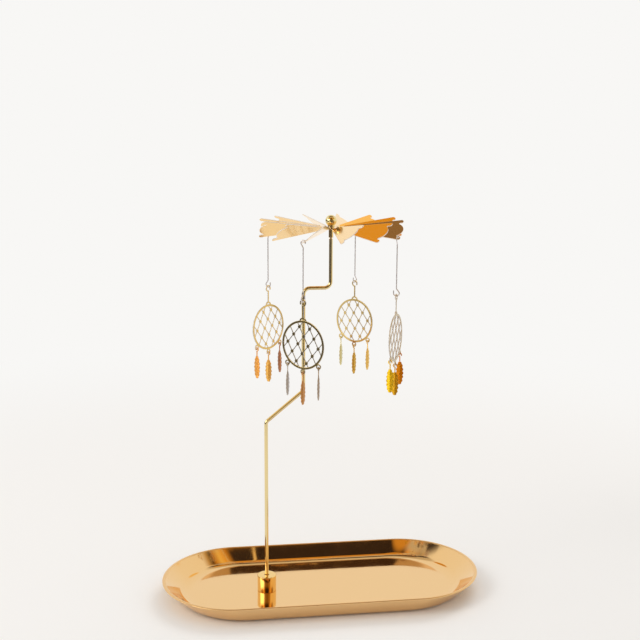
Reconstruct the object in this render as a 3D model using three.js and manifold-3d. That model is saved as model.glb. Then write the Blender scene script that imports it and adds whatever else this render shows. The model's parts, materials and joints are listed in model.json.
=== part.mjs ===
// Candle carousel: warm air from candles on a tray turns a fan of sheet vanes on a needle,
// and the fan carries four hanging nets, each with three feathers.
// Millimetres, +Z up. The origin is the middle of the tray's underside, and +X runs along the tray.
import * as THREE from "three";
import { mergeVertices } from "three/addons/utils/BufferGeometryUtils.js";
import Module from "manifold-3d";

const wasm = await Module();
wasm.setup();

// Fits
const clearance = 0.3; // gap kept between turned, bent or hanging pieces
const overrun = 1; // how far a cutting body runs past the face that it cuts

// Tray
const trayLength = 185;
const trayWidth = 84.6;
const trayHeight = 10.4;
const traySheet = 1;
const trayFillet = 4.7; // inside radius where the floor turns up into the wall
const trayWallSlope = THREE.MathUtils.degToRad(60);
const trayEndLeanShare = 1; // extra run of an end wall, as a share of a side wall's
const trayEndFacets = 14;
const trayFilletFacets = 4;

// Post socket and its screw
const postReach = 32.2; // from the tray's middle, towards -X
const postDiameter = 10.9;
const postHeight = 9.4;
const postChamfer = 0.5;
const postBoreDepth = 4.5;
const screwDiameter = 3;
const screwHeadDiameter = 5.2;
const screwHeadHeight = 1.1;
const screwSink = 0.3; // from the table to the face of the head
const screwLength = 4.2;
const screwSlotWidth = 0.8;
const screwSlotDepth = 0.6;
const dimpleRise = 1.1; // the floor is pressed up round the screw
const dimpleRadius = 3.9;
const turnedFacets = 20;

// Rod
const rodDiameter = 2.1;
const rodBend = 3.5; // centre-line radius at the level run
const rodKinkBend = 3; // centre-line radius at the slanting run
const slantFoot = 101.5; // height over the tray floor
const slantRise = 17.7;
const uprightRise = 58.6; // from the slanting run's head to the level run
const jogLength = 15.2; // level run, from the upright to the fan's axis
const shoulderRise = 27.6; // from the level run to the needle's shoulder
const rodShoulderBevel = 0.35;
const rotorReach = 4.25; // from the tray's middle to the fan's axis, towards +X
const needleDiameter = 1;
const needleTipDiameter = 0.3;
const needleTaper = 1.6;
const rodFacets = 8;
const bendFacets = 4;

// Fan
const plateStandoff = 5.7; // from the rod's shoulder to the middle of the sheet
const fanSheet = 0.5;
const vaneCount = 12;
const vaneRadius = 39.4; // out to the corners
const vaneHalfWidth = 7.9; // at the corners
const vanePitch = THREE.MathUtils.degToRad(38);
const vaneOffset = THREE.MathUtils.degToRad(7.9); // turn of the first vane from +X
const vaneFoot = 8; // radius where the flat part of a vane starts
const knobRadius = 1.15;
const knobInset = 1; // from a corner in to the knob's centre
const knobEnd = THREE.MathUtils.degToRad(110);
const lobeRadius = 4.8;
const lobeStandout = 0.9; // how far the lobe ends beyond the corners
const lobeSpread = THREE.MathUtils.degToRad(60);
const notchDepth = 1.3;
const hubRadius = 5;
const neckHalfWidth = 1.3;
const neckOverlap = 0.6;
const neckSteps = 4;
const vaneFacets = 2;
const holeFacets = 12;

// Ball and sleeve, which clamp the fan between them
const sleeveDiameter = 2.6;
const sleeveGap = 0.4; // from the rod's shoulder to the sleeve
const sleeveFlangeDiameter = 4.4;
const sleeveFlangeHeight = 0.6;
const spigotRise = 1.9; // how far the sleeve goes up into the ball
const ballDiameter = 6.3;
const ballRise = 4.1; // ball's centre over the middle of the sheet
const ballCollarDiameter = 3.8;
const needleSeatRise = 4.4; // top of the needle's cup over the middle of the sheet
const ballFacets = 7;

// Hanger wires
const wireDiameter = 0.65;
const hangerDrop = 31.1; // from the edge that carries the wire to the hook's lowest point
const hangInset = 0.3; // from the knob's centre in to the hole's
const hangStripWidth = 1; // sheet left between the hole and the vane's edge
const hangHoleDiameter = 1.6;
const topHookTip = 0.5;
const topHookLeg = 0.7;
const hookSlant = 2; // height over which a leg runs back in line with the wire
const bottomHookRadius = 1.6;
const bottomHookLeg = 0.4;
const bottomHookTip = 1.4;
const wireFacets = 6;
const wireBendFacets = 3;

// Hanging nets
const charmSheet = 0.5;
const charmRadius = 13.15;
const charmRimWidth = 1.25;
const charmDrop = 22.4; // from the loop's centre to the ring's centre
const netColumn = 6.4; // spacing of the dots in a row
const netRow = 4.7; // spacing of the rows
const netRows = 2; // rows above and below the middle one
const netStripWidth = 0.45;
const netTurn = THREE.MathUtils.degToRad(6);
const dotDiameter = 1.6;
const dotFacets = 5;
const loopRadius = 1.95;
const loopStripWidth = 0.7;
const archRadius = 2.2;
const archStripWidth = 0.8;
const stemWidth = 0.8;
const eyeletRadius = 1.5;
const eyeletStripWidth = 0.65;
const eyeletStandoff = 1.25; // from the ring's edge to the eyelet's centre
const eyeletSpread = THREE.MathUtils.degToRad(43);
const rimFacets = 12;
const eyeletFacets = 4;
const loopFacets = 4;

// Feathers
const featherSheet = 0.25;
const quillSheet = 0.45;
const quillWidth = 0.6;
const quillInset = 1.5; // from the end of the blade up to the end of the quill
const featherLoopStripWidth = 0.5;
const featherReach = 3.8; // from the hinge down to the top of the blade
const featherLength = 13.2;
const featherWidth = 4.4;
const featherLobes = 6;
const featherLobePoints = 2;
const lobeDepthShare = 0.11;
const bladeFullnessShare = 0.34;

// Open loops: where each one's gap starts and ends, turned from level on its right
const gapStart = THREE.MathUtils.degToRad(-75);
const gapEnd = THREE.MathUtils.degToRad(-30);

// Distances out along a vane
const knobReach = vaneRadius - knobInset;
const lobeReach = vaneRadius + lobeStandout;
const hangReach = knobReach - hangInset;

// Heights over the tray floor, worked up along the rod to the fan
const slantHead = slantFoot + slantRise;
const jogHeight = slantHead + uprightRise;
const rodShoulder = jogHeight + shoulderRise;
const plateHeight = rodShoulder + plateStandoff;

// Finishes
const goldMirror = { color: 0xe8bf78, roughness: 0.12, metalness: 1 };
const goldWire = { color: 0xd9ae62, roughness: 0.25, metalness: 1 };
const goldSheet = { color: 0xc9a95a, roughness: 0.35, metalness: 1 };
const goldFeather = { color: 0xe9a84f, roughness: 0.35, metalness: 1 };
const steelWire = { color: 0xb9b6b8, roughness: 0.3, metalness: 1 };

// A closed solid, ready to be joined or cut, from a geometry.
function solidFrom(geometry) {
  const bare = new THREE.BufferGeometry();
  bare.setAttribute("position", geometry.getAttribute("position"));
  bare.setIndex(geometry.index);
  const merged = mergeVertices(bare);
  const vertProperties = merged.getAttribute("position").array;
  const triVerts = new Uint32Array(merged.index.array);
  return new wasm.Manifold(new wasm.Mesh({ numProp: 3, vertProperties, triVerts }));
}

// A named mesh from a solid.
function pieceFrom(name, solid, finish) {
  const made = solid.getMesh();
  const indexed = new THREE.BufferGeometry();
  indexed.setAttribute("position", new THREE.BufferAttribute(made.vertProperties, made.numProp));
  indexed.setIndex(new THREE.BufferAttribute(made.triVerts, 1));
  const geometry = indexed.toNonIndexed();
  geometry.computeVertexNormals();
  const mesh = new THREE.Mesh(geometry, new THREE.MeshStandardMaterial(finish));
  mesh.name = name;
  return mesh;
}

function joined(solids) {
  return solids.reduce((whole, next) => whole.add(next));
}

// A closed skin over rings of points, each ring turning anticlockwise about the way the rings follow.
function loft(rings) {
  const count = rings[0].length;
  const points = rings.flat();
  const first = points.length;
  const faces = [];
  const middle = (ring) => ring.reduce((sum, p) => sum.add(p), new THREE.Vector3()).divideScalar(count);
  points.push(middle(rings[0]), middle(rings.at(-1)));
  for (let k = 0; k < count; k += 1) {
    const next = (k + 1) % count;
    for (let row = 0; row < rings.length - 1; row += 1) {
      const low = row * count;
      const high = low + count;
      faces.push(low + k, low + next, high + next, low + k, high + next, high + k);
    }
    const top = (rings.length - 1) * count;
    faces.push(first, next, k, first + 1, top + k, top + next);
  }
  const geometry = new THREE.BufferGeometry().setFromPoints(points);
  geometry.setIndex(faces);
  return solidFrom(geometry);
}

// A solid turned about +Z from pairs of radius and height that start and end on the axis.
function turned(profile) {
  const points = profile.map(([radius, height]) => new THREE.Vector2(radius, height));
  const geometry = new THREE.LatheGeometry(points, turnedFacets);
  geometry.rotateX(Math.PI / 2);
  return solidFrom(geometry);
}

// A shape drawn across (x) and up (y), cut from sheet that stands in the XZ plane.
function standingSheet(shape, sheet, curveSegments = 1) {
  const geometry = new THREE.ExtrudeGeometry(shape, { depth: sheet, bevelEnabled: false, curveSegments });
  geometry.translate(0, 0, -sheet / 2);
  geometry.rotateX(Math.PI / 2);
  return solidFrom(geometry);
}

// A flat ring, or a part of one between two turns.
function ringShape(radius, stripWidth, start = 0, end = 2 * Math.PI) {
  const shape = new THREE.Shape();
  const inner = radius - stripWidth;
  if (end - start < 2 * Math.PI) {
    shape.absarc(0, 0, radius, start, end, false);
    shape.absarc(0, 0, inner, end, start, true);
    shape.closePath();
    return shape;
  }
  shape.absarc(0, 0, radius, start, end, false);
  const hole = new THREE.Path();
  hole.absarc(0, 0, inner, start, end, true);
  shape.holes.push(hole);
  return shape;
}

function openLoop(radius, stripWidth, sheet) {
  return standingSheet(ringShape(radius, stripWidth, gapEnd, gapStart + 2 * Math.PI), sheet, loopFacets);
}

// Stations of a bent wire: straight runs between corners, with an arc at each inner corner.
// A corner holds its place and its centre-line bend radius.
function wireStations(corners, steps) {
  const stations = [];
  const way = (a, b) => new THREE.Vector3().subVectors(b.at, a.at).normalize();
  corners.forEach((corner, k) => {
    const before = k > 0 ? way(corners[k - 1], corner) : way(corner, corners[1]);
    const after = k < corners.length - 1 ? way(corner, corners[k + 1]) : before;
    const turn = before.angleTo(after);
    if (!corner.bend || turn === 0) {
      stations.push({ at: corner.at, along: before });
      return;
    }
    const side = after.clone().addScaledVector(before, -after.dot(before)).normalize();
    const start = corner.at.clone().addScaledVector(before, -corner.bend * Math.tan(turn / 2));
    for (let step = 0; step <= steps; step += 1) {
      const angle = (turn * step) / steps;
      const at = start.clone();
      at.addScaledVector(before, corner.bend * Math.sin(angle));
      at.addScaledVector(side, corner.bend * (1 - Math.cos(angle)));
      const along = before.clone().multiplyScalar(Math.cos(angle)).addScaledVector(side, Math.sin(angle));
      stations.push({ at, along });
    }
  });
  return stations;
}

// Round wire through its stations; a station may have its own radius.
function wire(stations, radius, facets) {
  const across = new THREE.Vector3(0, 1, 0);
  if (Math.abs(stations[0].along.y) > Math.SQRT1_2) across.set(1, 0, 0);
  const rings = stations.map((station) => {
    across.addScaledVector(station.along, -across.dot(station.along)).normalize();
    const up = new THREE.Vector3().crossVectors(station.along, across);
    const size = station.radius ?? radius;
    return Array.from({ length: facets }, (_, k) => {
      const angle = (2 * Math.PI * k) / facets;
      const point = station.at.clone();
      point.addScaledVector(across, size * Math.cos(angle));
      return point.addScaledVector(up, size * Math.sin(angle));
    });
  });
  return loft(rings);
}

// Tray: rings of the tray's outline, out along the underside, over the rim and back to the floor.
function trayRing(reach, height) {
  const half = (trayLength - trayWidth) / 2 - trayEndLeanShare * (trayWidth / 2 - reach);
  const ring = [];
  for (const side of [1, -1]) {
    for (let k = 0; k <= trayEndFacets; k += 1) {
      const angle = (Math.PI * k) / trayEndFacets - (side * Math.PI) / 2;
      ring.push(new THREE.Vector3(side * half + reach * Math.cos(angle), reach * Math.sin(angle), height));
    }
  }
  return ring;
}

function trayShell() {
  const riseOfFillet = trayFillet * (1 - Math.cos(trayWallSlope));
  const wall = (trayHeight - traySheet - riseOfFillet) / Math.sin(trayWallSlope);
  const outer = trayFillet + traySheet;
  const foot = trayWidth / 2 - outer * Math.sin(trayWallSlope) - wall * Math.cos(trayWallSlope);
  const bend = (radius, angle) => [foot + radius * Math.sin(angle), outer - radius * Math.cos(angle)];
  const rim = (radius) => {
    const [reach, height] = bend(radius, trayWallSlope);
    return [reach + wall * Math.cos(trayWallSlope), height + wall * Math.sin(trayWallSlope)];
  };
  const angles = Array.from({ length: trayFilletFacets + 1 }, (_, k) => (trayWallSlope * k) / trayFilletFacets);
  const under = angles.map((angle) => bend(outer, angle));
  const over = angles.map((angle) => bend(trayFillet, angle)).reverse();
  const profile = [...under, rim(outer), rim(trayFillet), ...over];
  return loft(profile.map(([reach, height]) => trayRing(reach, height)));
}

// The floor is pressed up into a cone round the screw, so that the head stays clear of the table.
function trayPiece() {
  const shank = screwDiameter / 2 + clearance;
  const head = screwHeadDiameter / 2 + clearance;
  const top = traySheet + dimpleRise;
  const boss = turned([
    [0, traySheet / 2],
    [dimpleRadius, traySheet / 2],
    [dimpleRadius, traySheet],
    [dimpleRadius - dimpleRise / 2, top],
    [0, top],
  ]);
  const pocket = turned([
    [0, -overrun],
    [head, -overrun],
    [head, screwSink],
    [shank, screwSink + screwHeadHeight + clearance],
    [shank, top + overrun],
    [0, top + overrun],
  ]);
  const shell = trayShell().add(boss.translate(-postReach, 0, 0));
  return pieceFrom("tray", shell.subtract(pocket.translate(-postReach, 0, 0)), goldMirror);
}

// Post socket: turned bar with a bore for the rod on top, and a threaded hole and a relief below.
function postSocketPiece() {
  const radius = postDiameter / 2;
  const relief = dimpleRadius + clearance;
  const reliefTop = dimpleRise + clearance;
  const thread = screwDiameter / 2 + clearance;
  const threadTop = screwSink + screwLength - traySheet + clearance;
  const bore = rodDiameter / 2 + clearance;
  const body = turned([
    [0, 0],
    [radius, 0],
    [radius, postHeight - postChamfer],
    [radius - postChamfer, postHeight],
    [0, postHeight],
  ]);
  const below = turned([
    [0, -overrun],
    [relief, -overrun],
    [relief, reliefTop],
    [thread, reliefTop],
    [thread, threadTop],
    [0, threadTop],
  ]);
  const above = turned([
    [0, postHeight - postBoreDepth],
    [bore, postHeight - postBoreDepth],
    [bore, postHeight + overrun],
    [0, postHeight + overrun],
  ]);
  const piece = pieceFrom("post_socket", body.subtract(below).subtract(above), goldMirror);
  piece.position.set(-postReach, 0, traySheet);
  return piece;
}

// Countersunk screw with a cross slot, driven from beneath.
function trayScrewPiece() {
  const head = screwHeadDiameter / 2;
  const shank = screwDiameter / 2;
  const body = turned([
    [0, 0],
    [head, 0],
    [shank, screwHeadHeight],
    [shank, screwLength],
    [0, screwLength],
  ]);
  const slotLength = screwHeadDiameter - 2 * screwSlotWidth;
  const slot = solidFrom(new THREE.BoxGeometry(slotLength, screwSlotWidth, 2 * screwSlotDepth));
  const cross = slot.add(solidFrom(new THREE.BoxGeometry(screwSlotWidth, slotLength, 2 * screwSlotDepth)));
  const piece = pieceFrom("tray_screw", body.subtract(cross), steelWire);
  piece.position.set(-postReach, 0, screwSink);
  return piece;
}

// Rod: one bent wire, turned down at its top to the needle that carries the fan.
function rodPiece() {
  const at = (x, height) => new THREE.Vector3(x, 0, traySheet + height);
  const upright = rotorReach - jogLength;
  const corners = [
    { at: at(-postReach, postHeight - postBoreDepth + clearance) },
    { at: at(-postReach, slantFoot), bend: rodKinkBend },
    { at: at(upright, slantHead), bend: rodKinkBend },
    { at: at(upright, jogHeight), bend: rodBend },
    { at: at(rotorReach, jogHeight), bend: rodBend },
    { at: at(rotorReach, rodShoulder - rodShoulderBevel) },
  ];
  const stations = wireStations(corners, bendFacets);
  const along = new THREE.Vector3(0, 0, 1);
  const needleTop = plateHeight + needleSeatRise - clearance;
  const needle = needleDiameter / 2;
  const end = (height, radius) => stations.push({ at: at(rotorReach, height), along, radius });
  end(rodShoulder, rodDiameter / 2 - rodShoulderBevel);
  end(rodShoulder, needle);
  end(needleTop - needleTaper, needle);
  end(needleTop, needleTipDiameter / 2);
  return pieceFrom("rod", wire(stations, rodDiameter / 2, rodFacets), goldWire);
}

// Vane outline, along the vane (x) and across it (y): straight sides that aim at the hub's centre,
// a knob at each corner, and a round lobe between two notches.
function vaneShape() {
  const flare = Math.atan2(vaneHalfWidth, vaneRadius);
  const knobSide = (knobReach * Math.sin(flare) - knobRadius) / Math.cos(flare);
  const lobeMiddle = lobeReach - lobeRadius;
  const lobeEndX = lobeMiddle + lobeRadius * Math.cos(lobeSpread);
  const lobeEndY = lobeRadius * Math.sin(lobeSpread);
  const knobEndX = knobReach + knobRadius * Math.cos(knobEnd);
  const knobEndY = knobSide - knobRadius * Math.sin(knobEnd);
  const notchX = lobeEndX - notchDepth;
  const notchY = (lobeEndY + knobEndY) / 2;
  const shape = new THREE.Shape();
  shape.moveTo(vaneFoot, vaneFoot * Math.tan(flare));
  shape.lineTo(vaneFoot, -vaneFoot * Math.tan(flare));
  shape.absarc(knobReach, -knobSide, knobRadius, -Math.PI / 2 - flare, knobEnd, false);
  shape.quadraticCurveTo(notchX, -notchY, lobeEndX, -lobeEndY);
  shape.absarc(lobeMiddle, 0, lobeRadius, -lobeSpread, lobeSpread, false);
  shape.quadraticCurveTo(notchX, notchY, knobEndX, knobEndY);
  shape.absarc(knobReach, knobSide, knobRadius, -knobEnd, Math.PI / 2 + flare, false);
  shape.closePath();
  return shape;
}

// Place of the hanger's hinge on a vane that lies along +X: the middle of the strip beside the hole.
const flareOfVane = Math.atan2(vaneHalfWidth, vaneRadius);
const stripSide = hangReach * Math.tan(flareOfVane) - hangStripWidth / 2;
const hingeOnVane = new THREE.Vector3(
  hangReach,
  -stripSide * Math.cos(vanePitch),
  -stripSide * Math.sin(vanePitch),
);

function vaneSolid(holed) {
  const settings = { depth: fanSheet, bevelEnabled: false, curveSegments: vaneFacets };
  const blade = new THREE.ExtrudeGeometry(vaneShape(), settings);
  blade.translate(0, 0, -fanSheet / 2);
  let solid = solidFrom(blade);
  if (holed) {
    const holeSide = stripSide - (hangStripWidth + hangHoleDiameter) / 2;
    const drill = new THREE.CylinderGeometry(
      hangHoleDiameter / 2,
      hangHoleDiameter / 2,
      fanSheet + 2 * overrun,
      holeFacets,
    );
    drill.rotateX(Math.PI / 2);
    drill.translate(hangReach, -holeSide, 0);
    solid = solid.subtract(solidFrom(drill));
  }
  return solid.rotate([THREE.MathUtils.radToDeg(vanePitch), 0, 0]);
}

// Neck between hub and vane: a strip of the same sheet, twisted from level to the vane's pitch.
function neckSolid() {
  const section = (reach, twist) => {
    const corners = [
      [-neckHalfWidth, -fanSheet / 2],
      [neckHalfWidth, -fanSheet / 2],
      [neckHalfWidth, fanSheet / 2],
      [-neckHalfWidth, fanSheet / 2],
    ];
    const turn = new THREE.Matrix4().makeRotationX(twist);
    return corners.map(([y, z]) => new THREE.Vector3(reach, y, z).applyMatrix4(turn));
  };
  const rings = [section(hubRadius - 2 * neckOverlap, 0)];
  for (let step = 0; step <= neckSteps; step += 1) {
    const share = step / neckSteps;
    rings.push(section(THREE.MathUtils.lerp(hubRadius, vaneFoot, share), vanePitch * share));
  }
  rings.push(section(vaneFoot + neckOverlap, vanePitch));
  return loft(rings);
}

// Fan: hub disc, necks and pitched vanes, all from one sheet. Every third vane carries a hanger.
const hangerEvery = 3;
const firstHanger = 2;

function carriesHanger(vane) {
  return vane % hangerEvery === firstHanger;
}

function fanPiece() {
  const hole = sleeveDiameter / 2 + clearance;
  const hub = turned([
    [0, -fanSheet / 2],
    [hubRadius, -fanSheet / 2],
    [hubRadius, fanSheet / 2],
    [0, fanSheet / 2],
  ]);
  const drill = turned([
    [0, -overrun],
    [hole, -overrun],
    [hole, overrun],
    [0, overrun],
  ]);
  const parts = [hub];
  const neck = neckSolid();
  const plain = vaneSolid(false).add(neck);
  const holed = vaneSolid(true).add(neck);
  for (let vane = 0; vane < vaneCount; vane += 1) {
    const angle = THREE.MathUtils.radToDeg(vaneOffset) + (vane * 360) / vaneCount;
    parts.push((carriesHanger(vane) ? holed : plain).rotate([0, 0, angle]));
  }
  return pieceFrom("rotor_fan", joined(parts).subtract(drill), goldMirror);
}

// Sleeve: a tube round the needle, with a flange under the fan and a spigot up through it.
function hubSleevePiece() {
  const bore = needleDiameter / 2 + clearance;
  const outer = sleeveDiameter / 2;
  const foot = rodShoulder + sleeveGap - plateHeight;
  const under = -fanSheet / 2;
  const top = fanSheet / 2 + spigotRise;
  const body = turned([
    [0, foot],
    [outer, foot],
    [outer, under - sleeveFlangeHeight],
    [sleeveFlangeDiameter / 2, under - sleeveFlangeHeight],
    [sleeveFlangeDiameter / 2, under],
    [outer, under],
    [outer, top],
    [0, top],
  ]);
  const drill = turned([
    [0, foot - overrun],
    [bore, foot - overrun],
    [bore, top + overrun],
    [0, top + overrun],
  ]);
  return pieceFrom("hub_sleeve", body.subtract(drill), goldWire);
}

// Ball: turned knob with a collar that sits on the fan, a bore for the sleeve, and the needle's cup.
function finialBallPiece() {
  const radius = ballDiameter / 2;
  const collar = ballCollarDiameter / 2;
  const under = fanSheet / 2;
  const start = Math.asin(collar / radius);
  const arc = Array.from({ length: ballFacets + 1 }, (_, k) => {
    const angle = THREE.MathUtils.lerp(start, Math.PI, k / ballFacets);
    return [radius * Math.sin(angle), ballRise - radius * Math.cos(angle)];
  });
  arc[ballFacets][0] = 0;
  const body = turned([[0, under], [collar, under], ...arc]);
  const socket = sleeveDiameter / 2 + clearance;
  const socketTop = under + spigotRise + clearance;
  const cup = needleDiameter / 2 + clearance;
  const drill = turned([
    [0, under - overrun],
    [socket, under - overrun],
    [socket, socketTop],
    [cup, socketTop],
    [cup, needleSeatRise - cup],
    [0, needleSeatRise],
  ]);
  return pieceFrom("finial_ball", body.subtract(drill), goldMirror);
}

// Hanger wire, with its hinge at the origin. The top hook lies in the YZ plane and goes over the
// vane's edge; the bottom hook is turned to face the way that the net faces.
function hangerPiece(name, faceTurn) {
  const radius = wireDiameter / 2;
  const topHook = Math.hypot(hangStripWidth, fanSheet) / 2 + clearance + radius;
  const low = -hangerDrop;
  const inTop = (y, z) => new THREE.Vector3(0, y, z);
  const inBottom = (out, z) => new THREE.Vector3(out * Math.cos(faceTurn), out * Math.sin(faceTurn), z);
  const hook = bottomHookRadius;
  const corners = [
    { at: inTop(topHook, -topHookTip) },
    { at: inTop(topHook, topHook), bend: topHook },
    { at: inTop(-topHook, topHook), bend: topHook },
    { at: inTop(-topHook, -topHookLeg), bend: wireDiameter },
    { at: inTop(0, -topHookLeg - hookSlant), bend: wireDiameter },
    { at: inBottom(0, low + hook + bottomHookLeg + hookSlant), bend: wireDiameter },
    { at: inBottom(hook, low + hook + bottomHookLeg), bend: wireDiameter / 2 },
    { at: inBottom(hook, low), bend: hook },
    { at: inBottom(-hook, low), bend: hook },
    { at: inBottom(-hook, low + hook + bottomHookTip) },
  ];
  return pieceFrom(name, wire(wireStations(corners, wireBendFacets), radius, wireFacets), steelWire);
}

// Net in the ring: strips on two slants that cross at the dots, turned a little in the ring.
function netSolids() {
  const solids = [];
  const half = netColumn / 2;
  const slant = Math.atan2(netRow, half);
  const stripReach = charmRadius - charmRimWidth / 2;
  const outermost = netRows + 1;
  for (const side of [1, -1]) {
    for (let step = -outermost; step <= outermost; step += 2) {
      const fromMiddle = step * half * Math.sin(slant);
      const length = 2 * Math.sqrt(stripReach ** 2 - fromMiddle ** 2);
      const strip = new THREE.BoxGeometry(length, charmSheet, netStripWidth);
      strip.translate(0, 0, -side * fromMiddle);
      strip.rotateY(-side * slant - netTurn);
      solids.push(solidFrom(strip));
    }
  }
  for (let row = -netRows; row <= netRows; row += 1) {
    const last = outermost - Math.abs(row);
    for (let step = -last; step <= last; step += 2) {
      const dot = new THREE.CylinderGeometry(dotDiameter / 2, dotDiameter / 2, charmSheet, dotFacets);
      dot.translate(step * half, 0, row * netRow);
      dot.rotateY(-netTurn);
      solids.push(solidFrom(dot));
    }
  }
  return solids;
}

// Where the feather's hinge lies under each eyelet, from the ring's centre.
function eyeletPlace(turn) {
  const reach = charmRadius + eyeletStandoff;
  return [reach * Math.sin(turn), -reach * Math.cos(turn)];
}
const eyeletBarDrop = eyeletRadius - eyeletStripWidth / 2;
const eyeletTurns = [-eyeletSpread, 0, eyeletSpread];

// Loop's centre under the hook's wire, which bears inside the top of the loop.
const loopDrop = loopRadius - loopStripWidth - clearance - wireDiameter / 2;

// Hanging net, with its hinge, the wire in its loop, at the origin: one piece of etched sheet.
function dreamcatcherPiece(name) {
  const sheetRing = (radius, strip, facets, x, z) =>
    standingSheet(ringShape(radius, strip), charmSheet, facets).translate(x, 0, z);
  const eyelets = eyeletTurns.map((turn) => {
    const [x, z] = eyeletPlace(turn);
    return sheetRing(eyeletRadius, eyeletStripWidth, eyeletFacets, x, z);
  });
  const archFoot = charmRadius - charmRimWidth / 2;
  const arch = standingSheet(ringShape(archRadius, archStripWidth, 0, Math.PI), charmSheet, loopFacets);
  const stemFoot = archFoot + archRadius - archStripWidth / 2;
  const stemTop = charmDrop - loopRadius + loopStripWidth / 2;
  const stem = new THREE.BoxGeometry(stemWidth, charmSheet, stemTop - stemFoot);
  stem.translate(0, 0, (stemTop + stemFoot) / 2);
  const loop = openLoop(loopRadius, loopStripWidth, charmSheet).translate(0, 0, charmDrop);
  const net = joined([
    sheetRing(charmRadius, charmRimWidth, rimFacets, 0, 0),
    ...netSolids(),
    ...eyelets,
    arch.translate(0, 0, archFoot),
    solidFrom(stem),
    loop,
  ]);
  return pieceFrom(name, net.translate(0, 0, -loopDrop - charmDrop), goldSheet);
}

// Blade outline: a full, long oval with small lobes down both sides.
function bladeShape() {
  const count = featherLobes * featherLobePoints;
  const halfWidth = (share) => {
    const oval = Math.sin(Math.PI * share) ** bladeFullnessShare;
    const lobes = 1 - lobeDepthShare * (1 - Math.cos(2 * Math.PI * featherLobes * share));
    return (featherWidth / 2) * oval * lobes;
  };
  const side = Array.from({ length: count - 1 }, (_, k) => (k + 1) / count);
  const right = side.map((share) => new THREE.Vector2(halfWidth(share), -share * featherLength));
  const left = side.map((share) => new THREE.Vector2(-halfWidth(share), -share * featherLength)).reverse();
  return new THREE.Shape([new THREE.Vector2(0, 0), ...right, new THREE.Vector2(0, -featherLength), ...left]);
}

// Feather, with its hinge, the eyelet's bar in its loop, at the origin; the blade stands in XZ.
function featherPiece(name) {
  const inner = Math.hypot(eyeletStripWidth, charmSheet) / 2 + clearance;
  const outer = inner + featherLoopStripWidth;
  const blade = standingSheet(bladeShape(), featherSheet).translate(0, 0, -featherReach);
  const quillTop = -inner - featherLoopStripWidth / 2;
  const quillEnd = quillInset - featherReach - featherLength;
  const quill = new THREE.BoxGeometry(quillWidth, quillSheet, quillTop - quillEnd);
  quill.translate(0, 0, (quillTop + quillEnd) / 2);
  const loop = openLoop(outer, featherLoopStripWidth, quillSheet);
  return pieceFrom(name, joined([blade, solidFrom(quill), loop]), goldFeather);
}

// How each net has turned on its hook, and each feather on its eyelet, from square on.
const charmTurns = [-15.2, -16.4, -10.1, 2.7].map(THREE.MathUtils.degToRad);
const featherTurns = [
  [11, 0, 5],
  [0, 10, -17],
  [17, -2, 11],
  [16, 8, 0],
].map((turns) => turns.map(THREE.MathUtils.degToRad));
const featherLetters = ["a", "b", "c"];

// A hanger with all that hangs on it, hinge by hinge, at the origin with +X away from the fan's axis.
function hangingSet(set) {
  const number = set + 1;
  const hanger = hangerPiece(`hanger_wire_${number}`, charmTurns[set]);
  const charm = dreamcatcherPiece(`dreamcatcher_${number}`);
  charm.position.set(0, 0, -hangerDrop);
  charm.rotation.z = charmTurns[set] - Math.PI / 2;
  eyeletTurns.forEach((turn, k) => {
    const [x, z] = eyeletPlace(turn);
    const feather = featherPiece(`feather_${number}${featherLetters[k]}`);
    feather.position.set(x, 0, z - eyeletBarDrop - loopDrop - charmDrop);
    feather.rotation.z = Math.PI / 2 + featherTurns[set][k];
    charm.add(feather);
  });
  hanger.add(charm);
  return hanger;
}

// Everything that turns with the fan.
function rotorGroup() {
  const rotor = new THREE.Group();
  rotor.add(fanPiece(), hubSleevePiece(), finialBallPiece());
  const across = Math.atan2(hingeOnVane.y, hingeOnVane.x);
  let set = 0;
  for (let vane = 0; vane < vaneCount; vane += 1) {
    if (!carriesHanger(vane)) continue;
    const turn = vaneOffset + (vane * 2 * Math.PI) / vaneCount + across;
    const reach = Math.hypot(hingeOnVane.x, hingeOnVane.y);
    const hanging = hangingSet(set);
    hanging.position.set(reach * Math.cos(turn), reach * Math.sin(turn), hingeOnVane.z);
    hanging.rotation.z = turn;
    rotor.add(hanging);
    set += 1;
  }
  rotor.position.set(rotorReach, 0, traySheet + plateHeight);
  return rotor;
}

const carousel = new THREE.Group();
carousel.add(trayPiece(), postSocketPiece(), trayScrewPiece(), rodPiece(), rotorGroup());

export default carousel;
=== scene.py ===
import json
import math

import bmesh
import bpy
from mathutils import Matrix, Vector


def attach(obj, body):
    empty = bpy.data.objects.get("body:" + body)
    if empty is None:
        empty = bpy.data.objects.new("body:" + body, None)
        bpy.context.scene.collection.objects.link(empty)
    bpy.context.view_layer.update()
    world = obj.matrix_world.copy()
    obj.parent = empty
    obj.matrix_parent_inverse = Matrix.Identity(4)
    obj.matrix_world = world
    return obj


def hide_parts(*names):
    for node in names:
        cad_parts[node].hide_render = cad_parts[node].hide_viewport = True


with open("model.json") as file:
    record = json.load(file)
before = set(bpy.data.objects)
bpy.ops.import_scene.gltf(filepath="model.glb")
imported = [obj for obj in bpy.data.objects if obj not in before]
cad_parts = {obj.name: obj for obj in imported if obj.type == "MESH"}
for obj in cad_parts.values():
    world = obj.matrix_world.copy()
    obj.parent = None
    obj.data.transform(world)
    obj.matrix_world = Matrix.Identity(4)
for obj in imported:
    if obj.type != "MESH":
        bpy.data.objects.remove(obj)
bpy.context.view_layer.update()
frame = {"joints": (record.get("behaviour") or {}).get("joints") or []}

# Camera and studio
# The camera stands half a metre in front of the object, a little left and above. A pale floor fades
# into a pale backdrop. The room is bright behind the object and at its sides, and darker behind the
# camera and under one beam overhead, which polished metal shows as its dark bands.
MM = 0.001
EYE = (-78.55, -545.2, 263.05)
EYE_YAW = math.radians(8.03)
EYE_PITCH = math.radians(10.54)
EYE_ROLL = math.radians(0.29)
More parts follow.
